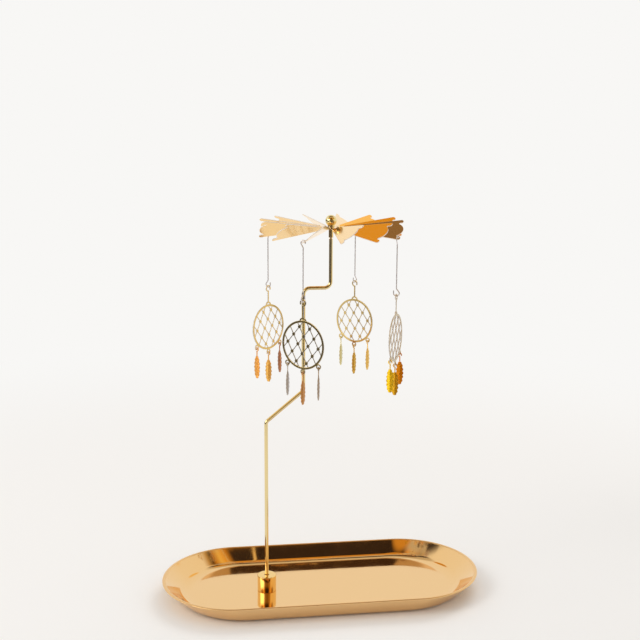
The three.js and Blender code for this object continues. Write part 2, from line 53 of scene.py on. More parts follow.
EYE_LENS = 56.25
SENSOR_WIDTH = 36.0
NEAREST_SEEN = 0.01
FLOOR_RADIUS = 720.0
FLOOR_SINK = 0.15
FLOOR_SIDES = 64
FADE_START = 0.25
FADE_END = 0.68
BACKDROP = "F8F7F5"
FLOOR_TONE = "F6F3EF"
ROOM_TONE = "DCDCDC"
CEILING_TONE = "CEC1AA"
BEAM_TONE = "463A34"
WINDOW_TONE = "FFFAEC"
WINDOW_STRENGTH = 3.0
WINDOW_TOWARDS = (-0.86, -0.38, 0.30)
WINDOW_EDGE = (0.90, 0.94)
WINDOW_HEIGHTS = ((0.52, 0.46), (0.02, 0.10))
CEILING_EDGE = (0.80, 0.88)
BEAM_EDGES = ((-0.19, -0.15), (0.09, 0.05))
# Rings of wall from below upwards: sines of the height where a ring starts and is full, then its tones
# by how far round the room they are, from 0 behind the object through 0.5 at the camera. The first
# ring starts below straight down, so it fills all that the others leave.
WALL_RINGS = (
    (-2.0, -1.5, (
        (0.0, "FBF8F3"), (0.405, "FBF8F3"), (0.422, "4C4636"), (0.60, "4C4636"), (0.622, "F6E2BE"),
        (0.889, "FBF8F3"))),
    (-0.155, -0.135, (
        (0.0, "FBF8F3"), (0.05, "FBF8F3"), (0.12, "5D585A"), (0.50, "5D585A"), (0.60, "7B787A"),
        (0.68, "F4F2EE"), (1.0, "FBF8F3"))),
    (0.08, 0.18, (
        (0.0, "FBF8F3"), (0.405, "FBF8F3"), (0.425, "B08C48"), (0.50, "8A6632"), (0.59, "C09A50"),
        (0.615, "FFECC0"), (0.889, "FBF8F3"))),
    (0.44, 0.50, (
        (0.0, "FBF8F3"), (0.25, "FBF4E6"), (0.283, "C8A468"), (0.306, "5A4628"), (0.328, "C88A30"),
        (0.361, "F8CE6E"), (0.40, "E8A030"), (0.433, "382A20"), (0.544, "382A20"), (0.583, "E8A030"),
        (0.625, "F8CE6E"), (0.661, "C88A30"), (0.683, "5A4628"), (0.706, "C8A468"), (0.739, "FBF4E6"),
        (1.0, "FBF8F3"))),
)
# Parts of the room with a tone of their own: direction, cosines where it starts and is full, tone.
LIT_PATCHES = (
    ((0.55, 0.52, 0.66), 0.990, 0.996, "FCD890"),
    ((-0.33, 0.57, 0.754), 0.990, 0.996, "DC9E2A"),
    ((0.32, 0.18, 0.93), 0.990, 0.996, "DC9E2A"),
    ((-0.10, 0.20, 0.973), 0.990, 0.995, "8A6E50"),
    ((0.0, -0.45, 0.89), 0.955, 0.985, "D89838"),
    ((-0.90, -0.38, -0.22), 0.976, 0.986, "484A50"),
    ((0.66, 0.73, -0.21), 0.980, 0.990, "DDE4FF"),
)
# Two soft lamps, aimed at the object, that metal doesn't mirror: place and size in metres, and power.
SOFTBOXES = (
    ("window_left", (-1.1, -0.35, 0.95), 0.6, 0.6, 5.0),
    ("fill_back", (0.6, 0.8, 1.1), 0.8, 0.6, 4.0),
)
SOFTBOX_AIM = (0.0, 0.0, 0.05)


def linear(hex_code):
    """Linear red, green, blue and alpha of an sRGB hex value."""
    parts = [int(hex_code[k:k + 2], 16) / 255 for k in (0, 2, 4)]
    return tuple(c / 12.92 if c <= 0.04045 else ((c + 0.055) / 1.055) ** 2.4 for c in parts) + (1.0,)


def feed(tree, node, socket, source):
    """Sets a node's input to a value, or links it to a socket or to another node's first output."""
    if isinstance(source, bpy.types.Node):
        source = source.outputs[0]
    if isinstance(source, bpy.types.NodeSocket):
        tree.links.new(source, node.inputs[socket])
    else:
        node.inputs[socket].default_value = source


def add(tree, kind, wires=None, **settings):
    """A node with its settings, and with what feeds its inputs."""
    made = tree.nodes.new(kind)
    for key, value in settings.items():
        setattr(made, key, value)
    for socket, source in (wires or {}).items():
        feed(tree, made, socket, source)
    return made


def linked(name, data):
    """A new object with that data, in the scene."""
    made = bpy.data.objects.new(name, data)
    bpy.context.scene.collection.objects.link(made)
    return made


camera_data = bpy.data.cameras.new("camera")
camera_data.sensor_width = SENSOR_WIDTH
camera_data.lens = EYE_LENS
camera_data.clip_start = NEAREST_SEEN
camera = linked("camera", camera_data)
camera.matrix_world = (
    Matrix.Translation(Vector(EYE) * MM)
    @ Matrix.Rotation(-EYE_YAW, 4, "Z")
    @ Matrix.Rotation(math.pi / 2 - EYE_PITCH, 4, "X")
    @ Matrix.Rotation(EYE_ROLL, 4, "Z")
)
bpy.context.scene.camera = camera
bpy.context.scene.view_settings.view_transform = "Standard"


def room_light():
    """Plain light on matt things, a pale backdrop to the camera, and a room of tones to metal."""
    world = bpy.data.worlds.new("room")
    world.use_nodes = True
    tree = world.node_tree
    tree.nodes.clear()
    toward = add(tree, "ShaderNodeTexCoord").outputs["Generated"]
    split = add(tree, "ShaderNodeSeparateXYZ", {0: toward})
    rise = split.outputs["Z"]
    nearer = add(tree, "ShaderNodeMath", {0: 0.0, 1: split.outputs["Y"]}, operation="SUBTRACT")
    round_room = add(tree, "ShaderNodeMath", {0: split.outputs["X"], 1: nearer}, operation="ARCTAN2")
    turn = add(tree, "ShaderNodeMath", {0: round_room, 1: 0.5 / math.pi, 2: 0.5}, operation="MULTIPLY_ADD")

    def within(*limits):
        """How far a ray is inside all limits, each a value or direction, its start and where it is full."""
        share = 1.0
        for value, low, high in limits:
            if isinstance(value, tuple):
                near = add(tree, "ShaderNodeVectorMath", {0: toward, 1: Vector(value).normalized()},
                           operation="DOT_PRODUCT")
                value = near.outputs["Value"]
            step = add(tree, "ShaderNodeMapRange", {"Value": value, "From Min": low, "From Max": high},
                       interpolation_type="SMOOTHSTEP")
            share = add(tree, "ShaderNodeMath", {0: share, 1: step}, operation="MULTIPLY")
        return share

    layers = []
    for low, high, stops in WALL_RINGS:
        ring = add(tree, "ShaderNodeValToRGB", {"Fac": turn})
        elements = ring.color_ramp.elements
        while len(elements) < len(stops):
            elements.new(0.5)
        for element, (position, tone) in zip(elements, stops):
            element.position = position
            element.color = linear(tone)
        layers.append((within((rise, low, high)), ring.outputs["Color"]))
    overhead = (rise, *CEILING_EDGE)
    layers.append((within(overhead), linear(CEILING_TONE)))
    beam = within(overhead, *((nearer, *edge) for edge in BEAM_EDGES))
    layers.append((beam, linear(BEAM_TONE)))
    for *patch, tone in LIT_PATCHES:
        layers.append((within(patch), linear(tone)))
    window = within((WINDOW_TOWARDS, *WINDOW_EDGE), *((rise, *span) for span in WINDOW_HEIGHTS))
    layers.append((window, linear(WINDOW_TONE)))
    seen = add(tree, "ShaderNodeLightPath")
    plain = add(tree, "ShaderNodeMath", {0: 1.0, 1: seen.outputs["Is Glossy Ray"]}, operation="SUBTRACT")
    layers.append((plain, linear(ROOM_TONE)))
    direct = add(tree, "ShaderNodeMath",
                 {0: seen.outputs["Is Camera Ray"], 1: seen.outputs["Is Transmission Ray"]},
                 operation="MAXIMUM")
    layers.append((direct, linear(BACKDROP)))
    light = linear(BACKDROP)
    for share, tone in layers:
        light = add(tree, "ShaderNodeMix", {0: share, 6: light, 7: tone}, data_type="RGBA").outputs[2]
    mirrored = add(tree, "ShaderNodeMath", {0: window, 1: seen.outputs["Is Glossy Ray"]},
                   operation="MULTIPLY")
    strength = add(tree, "ShaderNodeMath", {0: mirrored, 1: WINDOW_STRENGTH - 1, 2: 1.0},
                   operation="MULTIPLY_ADD")
    glow = add(tree, "ShaderNodeBackground", {"Color": light, "Strength": strength})
    add(tree, "ShaderNodeOutputWorld", {"Surface": glow})
    bpy.context.scene.world = world


def studio_floor():
    """A matt pale floor that takes the object's shadow and fades into the backdrop far out."""
    mesh = bpy.data.meshes.new("floor")
    shape = bmesh.new()
    bmesh.ops.create_circle(shape, cap_ends=True, segments=FLOOR_SIDES, radius=FLOOR_RADIUS * MM)
    bmesh.ops.translate(shape, verts=shape.verts, vec=(0, 0, -FLOOR_SINK * MM))
    shape.to_mesh(mesh)
    shape.free()
    floor = linked("floor", mesh)
    material = bpy.data.materials.new("matt studio paper")
    material.use_nodes = True
    tree = material.node_tree
    tree.nodes.clear()
    paper = add(tree, "ShaderNodeBsdfDiffuse", {"Color": linear(FLOOR_TONE)})
    backdrop = add(tree, "ShaderNodeEmission", {"Color": linear(BACKDROP), "Strength": 1.0})
    place = add(tree, "ShaderNodeTexCoord").outputs["Object"]
    distance = add(tree, "ShaderNodeVectorMath", {0: place}, operation="LENGTH")
    fade = add(tree, "ShaderNodeMapRange",
               {"Value": distance.outputs["Value"], "From Min": FADE_START, "From Max": FADE_END},
               interpolation_type="SMOOTHSTEP")
    seen = add(tree, "ShaderNodeLightPath")
    beyond = add(tree, "ShaderNodeMixShader",
                 {0: seen.outputs["Is Glossy Ray"], 1: backdrop, 2: add(tree, "ShaderNodeBsdfTransparent")})
    mixed = add(tree, "ShaderNodeMixShader", {0: fade, 1: paper, 2: beyond})
    add(tree, "ShaderNodeOutputMaterial", {"Surface": mixed})
    mesh.materials.append(material)


room_light()
studio_floor()
for name, place, width, height, power in SOFTBOXES:
    lamp = bpy.data.lights.new(name, "AREA")
    lamp.shape = "RECTANGLE"
    lamp.size = width
    lamp.size_y = height
    lamp.energy = power
    holder = linked(name, lamp)
    holder.location = place
    holder.rotation_mode = "QUATERNION"
    holder.rotation_quaternion = (Vector(SOFTBOX_AIM) - Vector(place)).to_track_quat("-Z", "Y")
    holder.visible_glossy = False

# Tray
# A shallow oval tray pressed from 1 mm sheet and gold-plated to a mirror. Its end walls run out
# further than its side walls. The floor is pressed up a little round the post's screw.
TRAY_LENGTH = 185.0
TRAY_WIDTH = 84.6
TRAY_HEIGHT = 10.4
TRAY_SHEET = 1.0
TRAY_FILLET = 4.7
TRAY_SLOPE = math.radians(60)
TRAY_END_LEAN = 1.0
TRAY_END_STEPS = 64
TRAY_FILLET_STEPS = 12
TRAY_RIM_STEPS = 8
TRIM_FOOT = 0.55
TRIM_HEAD = 0.35
TRIM_ROUGHNESS = 0.28
WIPES_TO_METRE = 90.0
WIPE_NOISE = (0.35, 0.7)
WIPE_ROUGHNESS = (0.05, 0.11)
POST_REACH = 32.2
DIMPLE_RADIUS = 3.9
DIMPLE_TOP_RADIUS = 3.35
DIMPLE_RISE = 1.1
CUT_OVERRUN = 1.0
SCREW_DIAMETER = 3.0
SCREW_HEAD = 5.2
SCREW_HEAD_HEIGHT = 1.1
SCREW_SINK = 0.3
CLEARANCE = 0.3
SMOOTH_ANGLE = math.radians(32)
MERGE_REACH = 1e-7


def piece(name, verts, faces, material, scale=MM):
    """A mesh object at the origin from points in millimetres, smooth but for its sharp edges."""
    mesh = bpy.data.meshes.new(name)
    mesh.from_pydata([Vector(v) * scale for v in verts], [], faces)
    mesh.materials.append(material)
    made = linked(name, mesh)
    smooth(made)
    return made


def smooth(made, angle=SMOOTH_ANGLE):
    """Outward normals, and smooth shading up to an angle between faces."""
    shape = bmesh.new()
    shape.from_mesh(made.data)
    bmesh.ops.remove_doubles(shape, verts=shape.verts, dist=MERGE_REACH)
    bmesh.ops.recalc_face_normals(shape, faces=shape.faces)
    shape.to_mesh(made.data)
    shape.free()
    made.data.shade_smooth()
    made.data.set_sharp_from_angle(angle=angle)


def skin(rings, closed_ends=True):
    """Vertices and faces of a skin over rings of equal count."""
    count = len(rings[0])
    verts = [p for ring in rings for p in ring]
    faces = []
    for row in range(len(rings) - 1):
        for k in range(count):
            a = row * count + k
            b = row * count + (k + 1) % count
            faces.append((a, b, b + count, a + count))
    if closed_ends:
        faces.append(tuple(reversed(range(count))))
        faces.append(tuple(range(len(verts) - count, len(verts))))
    return verts, faces


def arc(centre, radius, start, end, steps):
    """Points in the plane along part of a circle."""
    turns = [start + (end - start) * k / steps for k in range(steps + 1)]
    return [(centre[0] + radius * math.cos(turn), centre[1] + radius * math.sin(turn)) for turn in turns]


def circle(radius, steps, level=None, centre=(0.0, 0.0, 0.0)):
    """Points round a whole circle: in the plane, or with a level at that height over the centre."""
    flat = arc(centre, radius, 0.0, 2 * math.pi, steps)[:-1]
    return flat if level is None else [(x, y, centre[2] + level) for x, y in flat]


def tray_ring(reach, height):
    """The tray's outline at one height: two half circles of that reach, joined straight."""
    half = (TRAY_LENGTH - TRAY_WIDTH) / 2 - TRAY_END_LEAN * (TRAY_WIDTH / 2 - reach)
    ring = []
    for side in (1, -1):
        start = -side * math.pi / 2
        ring += arc((side * half, 0), reach, start, start + math.pi, TRAY_END_STEPS)
    return [(x, y, height) for x, y in ring]


def tray_profile():
    """Pairs of reach and height from the underside, round the rolled rim, to the floor."""
    outer = TRAY_FILLET + TRAY_SHEET
    half = TRAY_SHEET / 2
    middle = TRAY_FILLET + half
    wall = (TRAY_HEIGHT - half - outer + middle * math.cos(TRAY_SLOPE)) / math.sin(TRAY_SLOPE)
    rim_reach = TRAY_WIDTH / 2 - half
    foot = rim_reach - middle * math.sin(TRAY_SLOPE) - wall * math.cos(TRAY_SLOPE)
    flat, tilted = -math.pi / 2, TRAY_SLOPE - math.pi / 2
    return (
        arc((foot, outer), outer, flat, tilted, TRAY_FILLET_STEPS)
        + arc((rim_reach, TRAY_HEIGHT - half), half, tilted, tilted + math.pi, TRAY_RIM_STEPS)
        + arc((foot, outer), TRAY_FILLET, tilted, flat, TRAY_FILLET_STEPS)
    )


def turned(name, profile, centre, material, steps=64, bored=False):
    """A piece turned about +Z from pairs of radius and height; a bored one is open along its axis."""
    if bored:
        profile = profile + profile[:1]
    rings = [circle(radius, steps, height, centre) for radius, height in profile]
    return piece(name, *skin(rings, closed_ends=not bored), material)


def combine(target, other, operation="DIFFERENCE"):
    """Takes the other shape out of the target, or adds it, and deletes the other."""
    modifier = target.modifiers.new(operation, "BOOLEAN")
    modifier.operation = operation
    modifier.solver = "EXACT"
    modifier.object = other
    bake(target)
    bpy.data.objects.remove(other)


def plain_mesh(source):
    """The shape that an object has with its modifiers or bevel, as a mesh."""
    bpy.context.view_layer.update()
    graph = bpy.context.evaluated_depsgraph_get()
    return bpy.data.meshes.new_from_object(source.evaluated_get(graph))


def bake(target):
    """Turns a piece's evaluated shape into its own plain mesh and drops its modifiers."""
    made = plain_mesh(target)
    made.name = target.name
    target.modifiers.clear()
    target.data = made


def surface(material, label, source):
    """Sets an input of a material's own shader, or links it."""
    tree = material.node_tree
    feed(tree, tree.nodes["Principled BSDF"], label, source)


def metal(name, hex_code, roughness):
    """A bare metal of one colour and roughness, ready for its grain and wear."""
    material = bpy.data.materials.new(name)
    material.use_nodes = True
    surface(material, "Base Color", linear(hex_code))
    surface(material, "Metallic", 1.0)
    surface(material, "Roughness", roughness)
    return material


def grain(material, size_mm, height_mm, stretch=(1.0, 1.0, 1.0), detail=3.0, strength=1.0):
    """Fine unevenness of a worked surface: noise of that size, as bump of that height."""
    tree = material.node_tree
    place = add(tree, "ShaderNodeTexCoord").outputs["Object"]
    scaled = add(tree, "ShaderNodeMapping", {"Vector": place, "Scale": stretch})
    noise = add(tree, "ShaderNodeTexNoise",
                {"Vector": scaled, "Scale": 1.0 / (size_mm * MM), "Detail": detail})
    bump = add(tree, "ShaderNodeBump",
               {"Strength": strength, "Distance": height_mm * MM, "Height": noise.outputs["Fac"]})
    surface(material, "Normal", bump)


# Gold plate over polished steel: a warm mirror, a little uneven from pressing and wiping.
gold_plate = metal("polished gold plate", "EFC992", roughness=0.07)
grain(gold_plate, size_mm=22.0, height_mm=0.02, detail=2.0)
plate_tree = gold_plate.node_tree
plate_place = add(plate_tree, "ShaderNodeTexCoord").outputs["Object"]
wipe = add(plate_tree, "ShaderNodeTexNoise",
           {"Vector": plate_place, "Scale": WIPES_TO_METRE, "Detail": 4.0})
wiped = add(plate_tree, "ShaderNodeMapRange",
            {"Value": wipe.outputs["Fac"], "From Min": WIPE_NOISE[0], "From Max": WIPE_NOISE[1],
             "To Min": WIPE_ROUGHNESS[0], "To Max": WIPE_ROUGHNESS[1]})
plate_rise = add(plate_tree, "ShaderNodeSeparateXYZ", {0: plate_place})
# The trimmed edge at the very top of the rim stays matt.
trimmed = add(plate_tree, "ShaderNodeMapRange",
              {"Value": plate_rise.outputs["Z"], "From Min": (TRAY_HEIGHT - TRIM_FOOT) * MM,
               "From Max": (TRAY_HEIGHT - TRIM_HEAD) * MM, "To Min": 0.0, "To Max": TRIM_ROUGHNESS})
plate_rough = add(plate_tree, "ShaderNodeMath", {0: wiped, 1: trimmed}, operation="ADD")
surface(gold_plate, "Roughness", plate_rough)

tray = piece("tray_shell", *skin([tray_ring(*point) for point in tray_profile()]), gold_plate)
boss_top = TRAY_SHEET + DIMPLE_RISE
combine(tray, turned("boss", [
    (DIMPLE_RADIUS, TRAY_SHEET / 2), (DIMPLE_RADIUS, TRAY_SHEET), (DIMPLE_TOP_RADIUS, boss_top)],
    (-POST_REACH, 0, 0), gold_plate), "UNION")
pocket_head = SCREW_HEAD / 2 + CLEARANCE
pocket_shank = SCREW_DIAMETER / 2 + CLEARANCE
combine(tray, turned("pocket", [
    (pocket_head, -CUT_OVERRUN), (pocket_head, SCREW_SINK),
    (pocket_shank, SCREW_SINK + SCREW_HEAD_HEIGHT + CLEARANCE), (pocket_shank, boss_top + CUT_OVERRUN)],
    (-POST_REACH, 0, 0), gold_plate))
smooth(tray)
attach(tray, "stand")
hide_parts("tray")

# Post socket and its screw
# A short bar of turned brass stands on the tray near its left end and takes the rod in a blind bore.
# A countersunk cross-slot screw comes up through the tray from beneath and pulls it down.
POST_DIAMETER = 10.9
POST_HEIGHT = 9.4
POST_ROUND = 0.45
POST_FOOT_ROUND = 0.25
POST_LIP_ROUND = 0.2
ROUND_STEPS = 5
POST_SIDES = 96
SCREW_SIDES = 48
POST_BORE_DEPTH = 4.5
ROD_DIAMETER = 2.1
SCREW_LENGTH = 4.2
SCREW_BEVEL = 0.1
SCREW_TIP_BEVEL = 0.3
THREAD_START = 0.3
THREAD_PITCH = 0.5
THREAD_DEPTH = 0.22
SLOT_LENGTH = 3.6
SLOT_WIDTH = 0.8
SLOT_CUTTER_HEIGHT = 1.2

turned_gold = metal("turned and plated brass bar", "F3D08A", roughness=0.08)
# Lathe marks run round the bar: rings about 0.2 mm wide, which catch the light as fine lines.
grain(turned_gold, size_mm=0.2, height_mm=0.004, stretch=(0.012, 0.012, 1.0), detail=2.0, strength=0.5)

post_radius = POST_DIAMETER / 2
bore_radius = ROD_DIAMETER / 2 + CLEARANCE
relief = DIMPLE_RADIUS + CLEARANCE
relief_top = DIMPLE_RISE + CLEARANCE
thread = SCREW_DIAMETER / 2 + CLEARANCE
thread_top = SCREW_SINK + SCREW_LENGTH - TRAY_SHEET + CLEARANCE
post_profile = [(thread, thread_top), (thread, relief_top), (relief, relief_top), (relief, 0.0)]
for corner, size, start in (
    ((post_radius - POST_FOOT_ROUND, POST_FOOT_ROUND), POST_FOOT_ROUND, -math.pi / 2),
    ((post_radius - POST_ROUND, POST_HEIGHT - POST_ROUND), POST_ROUND, 0),
    ((bore_radius + POST_LIP_ROUND, POST_HEIGHT - POST_LIP_ROUND), POST_LIP_ROUND, math.pi / 2),
):
    post_profile += arc(corner, size, start, start + math.pi / 2, ROUND_STEPS)
post_profile.append((bore_radius, POST_HEIGHT - POST_BORE_DEPTH))
post = turned("post_socket_bar", post_profile, (-POST_REACH, 0, TRAY_SHEET), turned_gold, steps=POST_SIDES)
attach(post, "stand")
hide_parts("post_socket")

# Steel that is drawn bright and not polished: a soft pale shine, with faint lines along the wire.
bright_steel = metal("bright drawn steel wire", "E2DEE0", roughness=0.34)
grain(bright_steel, size_mm=0.3, height_mm=0.0003, stretch=(1.0, 1.0, 0.05))
screw_head = SCREW_HEAD / 2
screw_shank = SCREW_DIAMETER / 2
screw_profile = [(screw_head - SCREW_BEVEL, 0.0), (screw_head, SCREW_BEVEL), (screw_head, 2 * SCREW_BEVEL),
                 (screw_shank, SCREW_HEAD_HEIGHT)]
height = SCREW_HEAD_HEIGHT + THREAD_START
while height + THREAD_PITCH < SCREW_LENGTH - 2 * SCREW_BEVEL:
    screw_profile += [(screw_shank, height), (screw_shank - THREAD_DEPTH, height + THREAD_PITCH / 2)]
    height += THREAD_PITCH
screw_profile += [(screw_shank, height), (screw_shank, SCREW_LENGTH - SCREW_TIP_BEVEL),
                  (screw_shank - SCREW_TIP_BEVEL, SCREW_LENGTH)]
screw_place = (-POST_REACH, 0, SCREW_SINK)
screw = turned("tray_screw_body", screw_profile, screw_place, bright_steel, steps=SCREW_SIDES)


def block(name, size=(1.0, 1.0, 1.0), centre=(0.0, 0.0, 0.0)):
    """A plain block, in metres."""
    shape = bmesh.new()
    bmesh.ops.create_cube(shape, size=1.0)
    bmesh.ops.scale(shape, vec=size, verts=shape.verts)
    bmesh.ops.translate(shape, vec=centre, verts=shape.verts)
    mesh = bpy.data.meshes.new(name)
    shape.to_mesh(mesh)
    shape.free()
    return linked(name, mesh)


for width, depth in ((SLOT_LENGTH, SLOT_WIDTH), (SLOT_WIDTH, SLOT_LENGTH)):
    slot_size = Vector((width, depth, SLOT_CUTTER_HEIGHT)) * MM
    combine(screw, block("slot", slot_size, Vector(screw_place) * MM))
smooth(screw)
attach(screw, "stand")
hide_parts("tray_screw")

# Rod
# One gold-plated wire with four bends: it rises from the post, slants in over the tray, rises again and
# steps across to the fan's axis. Its top is turned down to a hard needle that the fan spins on.
ROD_BEND = 3.5
ROD_KINK_BEND = 3.0
SLANT_FOOT = 101.5
SLANT_HEAD = 119.2
JOG_HEIGHT = 177.8
ROD_SHOULDER = 205.4
ROD_SHOULDER_BEVEL = 0.35
JOG_LENGTH = 15.2
ROTOR_REACH = 4.25
NEEDLE_DIAMETER = 1.0
NEEDLE_TIP = 0.3
NEEDLE_TAPER = 1.6
NEEDLE_ROUND = 0.1
NEEDLE_ROUND_SHARE = 1.6
SHOULDER_ROUND = 0.1
SHOULDER_ROUND_SHARE = 0.7
PLATE_HEIGHT = 211.1
NEEDLE_SEAT_RISE = 4.4
SQUARE_STEP = 0.001
BEND_STEPS = 14
ROD_SIDES = 32
WIRE_ANGLE = math.radians(40)


def bent_path(corners, steps):
    """Points along a wire: straight runs between corners, with an arc of its bend radius at each."""
    points = []
    for k, (at, bend) in enumerate(corners):
        at = Vector(at)
        if not bend or k in (0, len(corners) - 1):
            points.append(at)
            continue
        before = (at - Vector(corners[k - 1][0])).normalized()
        after = (Vector(corners[k + 1][0]) - at).normalized()
        turn = before.angle(after)
        side = (after - before * after.dot(before)).normalized()
        start = at - before * bend * math.tan(turn / 2)
        for step in range(steps + 1):
            angle = turn * step / steps
            points.append(start + before * bend * math.sin(angle) + side * bend * (1 - math.cos(angle)))
    return points


def shape_tree(name, sockets):
    """An empty Geometry Nodes tree: returns it, its input node and its inputs' keys by their names."""
    tree = bpy.data.node_groups.new(name, "GeometryNodeTree")
    tree.is_modifier = True
    keys = {}
    for label, kind in sockets:
        socket = tree.interface.new_socket(name=label, in_out="INPUT", socket_type="NodeSocket" + kind)
        keys[label] = socket.identifier
    tree.interface.new_socket(name="Shape", in_out="OUTPUT", socket_type="NodeSocketGeometry")
    return tree, add(tree, "NodeGroupInput"), keys


def end_tree(tree, given, shape):
    """Ends a tree with its copies made real and given their finish."""
    real = add(tree, "GeometryNodeRealizeInstances", {0: shape})
    final = add(tree, "GeometryNodeSetMaterial", {"Geometry": real, "Material": given.outputs["Finish"]})
    add(tree, "NodeGroupOutput", {0: final})


def grow(target, tree, keys, values):
    """Runs a tree on the target with those inputs, and bakes what it makes."""
    maker = target.modifiers.new(tree.name, "NODES")
    maker.node_group = tree
    for label, value in values.items():
        maker[keys[label]] = value
    bake(target)


def wire_tree():
    """Geometry nodes that turn a path into round wire, thinner where the path's thickness says so."""
    tree, given, keys = shape_tree("round wire", (
        ("Path", "Geometry"), ("Wire radius", "Float"), ("Sides", "Int"), ("Finish", "Material")))
    path = add(tree, "GeometryNodeMeshToCurve", {"Mesh": given.outputs["Path"]})
    share = add(tree, "GeometryNodeInputNamedAttribute", {"Name": "thickness"}, data_type="FLOAT")
    round_section = add(tree, "GeometryNodeCurvePrimitiveCircle",
                        {"Resolution": given.outputs["Sides"], "Radius": given.outputs["Wire radius"]})
    tube = add(tree, "GeometryNodeCurveToMesh",
               {"Curve": path, "Profile Curve": round_section, "Scale": share, "Fill Caps": True})
    end_tree(tree, given, tube)
    return tree, keys


WIRE_TREE, WIRE_INPUTS = wire_tree()


def mark(mesh, label, kind, values, domain="POINT"):
    """Writes a named attribute on a mesh."""
    key = {"FLOAT": "value", "FLOAT_VECTOR": "vector", "FLOAT_COLOR": "color"}[kind]
    mesh.attributes.new(label, kind, domain).data.foreach_set(key, values)


def wire_piece(name, points, radius, sides, material, place=Matrix.Identity(4), thickness=None):
    """A wire along points in millimetres, put in place, as a plain mesh at the origin."""
    mesh = bpy.data.meshes.new(name)
    runs = [(k, k + 1) for k in range(len(points) - 1)]
    mesh.from_pydata([place @ (Vector(p) * MM) for p in points], runs, [])
    mark(mesh, "thickness", "FLOAT", thickness or [1.0] * len(points))
    made = linked(name, mesh)
    grow(made, WIRE_TREE, WIRE_INPUTS, {"Wire radius": radius * MM, "Sides": sides, "Finish": material})
    smooth(made, WIRE_ANGLE)
    return made


# Plating over drawn wire shines, with faint lines along the wire, drawn here 0.15 mm wide.
gold_wire = metal("gold-plated wire", "EED9A2", roughness=0.1)
grain(gold_wire, size_mm=0.15, height_mm=0.002, stretch=(1.0, 1.0, 0.02))

rod_corners = [
    ((-POST_REACH, 0, POST_HEIGHT - POST_BORE_DEPTH + CLEARANCE), 0),
    ((-POST_REACH, 0, SLANT_FOOT), ROD_KINK_BEND),
    ((ROTOR_REACH - JOG_LENGTH, 0, SLANT_HEAD), ROD_KINK_BEND),
    ((ROTOR_REACH - JOG_LENGTH, 0, JOG_HEIGHT), ROD_BEND),
    ((ROTOR_REACH, 0, JOG_HEIGHT), ROD_BEND),
    ((ROTOR_REACH, 0, ROD_SHOULDER - ROD_SHOULDER_BEVEL), 0),
]
rod_points = bent_path(rod_corners, BEND_STEPS)
rod_shares = [1.0] * len(rod_points)
needle_top = PLATE_HEIGHT + NEEDLE_SEAT_RISE - CLEARANCE
# From the rod's last bend up: heights, and the diameter there.
for rise, diameter in (
    (ROD_SHOULDER - SHOULDER_ROUND, ROD_DIAMETER - 2 * SHOULDER_ROUND_SHARE * ROD_SHOULDER_BEVEL),
    (ROD_SHOULDER, ROD_DIAMETER - 2 * ROD_SHOULDER_BEVEL),
    (ROD_SHOULDER + SQUARE_STEP, NEEDLE_DIAMETER),
    (needle_top - NEEDLE_TAPER, NEEDLE_DIAMETER),
    (needle_top - NEEDLE_ROUND, NEEDLE_ROUND_SHARE * NEEDLE_TIP),
    (needle_top, NEEDLE_TIP),
):
    rod_points.append(Vector((ROTOR_REACH, 0, rise)))
    rod_shares.append(diameter / ROD_DIAMETER)
rod_points = [p + Vector((0, 0, TRAY_SHEET)) for p in rod_points]
rod = wire_piece("bent_rod", rod_points, ROD_DIAMETER / 2, ROD_SIDES, gold_wire, thickness=rod_shares)
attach(rod, "stand")
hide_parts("rod")

# Fan
# Twelve vanes and their hub, etched from one bright sheet, each vane pitched by a twist in its neck.
# The vanes' ends are cut to a lobe between two knobs. Every third vane has a hole for a hanger.
FAN_SHEET = 0.5
VANE_COUNT = 12
VANE_RADIUS = 39.4
VANE_HALF_WIDTH = 7.9
VANE_FLARE = math.atan2(VANE_HALF_WIDTH, VANE_RADIUS)
VANE_PITCH = math.radians(38)
VANE_OFFSET = math.radians(7.9)
VANE_FOOT = 8.0
KNOB_RADIUS = 1.15
KNOB_REACH = 38.4
KNOB_END = math.radians(110)
LOBE_RADIUS = 4.8
LOBE_REACH = 40.3
LOBE_SPREAD = math.radians(60)
NOTCH_DEPTH = 1.3
HUB_RADIUS = 5.0
NECK_HALF_WIDTH = 1.3
HANG_REACH = 38.1
HANG_STRIP = 1.0
HANG_HOLE = 1.6
SLEEVE_DIAMETER = 2.6
HANGER_EVERY = 3
FIRST_HANGER = 2
COUNT_TOLERANCE = 0.5
HOLE_STEPS = 24
KNOB_STEPS = 12
LOBE_STEPS = 16
NOTCH_STEPS = 8
NECK_STEPS = 10
NECK_INTO_HUB = 1.2
NECK_INTO_VANE = 0.6
NECK_SHY = 0.01
HUB_STEPS = 72
EDGE_ROUND = 0.08
ACROSS_SHEET = 0.9
ETCHED_ROUGHNESS = 0.4
ETCHED_SCATTER = 0.8
SHEET_ANGLE = math.radians(20)


def curve_between(start, control, end, steps):
    """Points between two ends, drawn towards a control point."""
    shares = [k / steps for k in range(1, steps)]
    return [tuple((1 - share) ** 2 * a + 2 * share * (1 - share) * b + share ** 2 * c
                  for a, b, c in zip(start, control, end)) for share in shares]


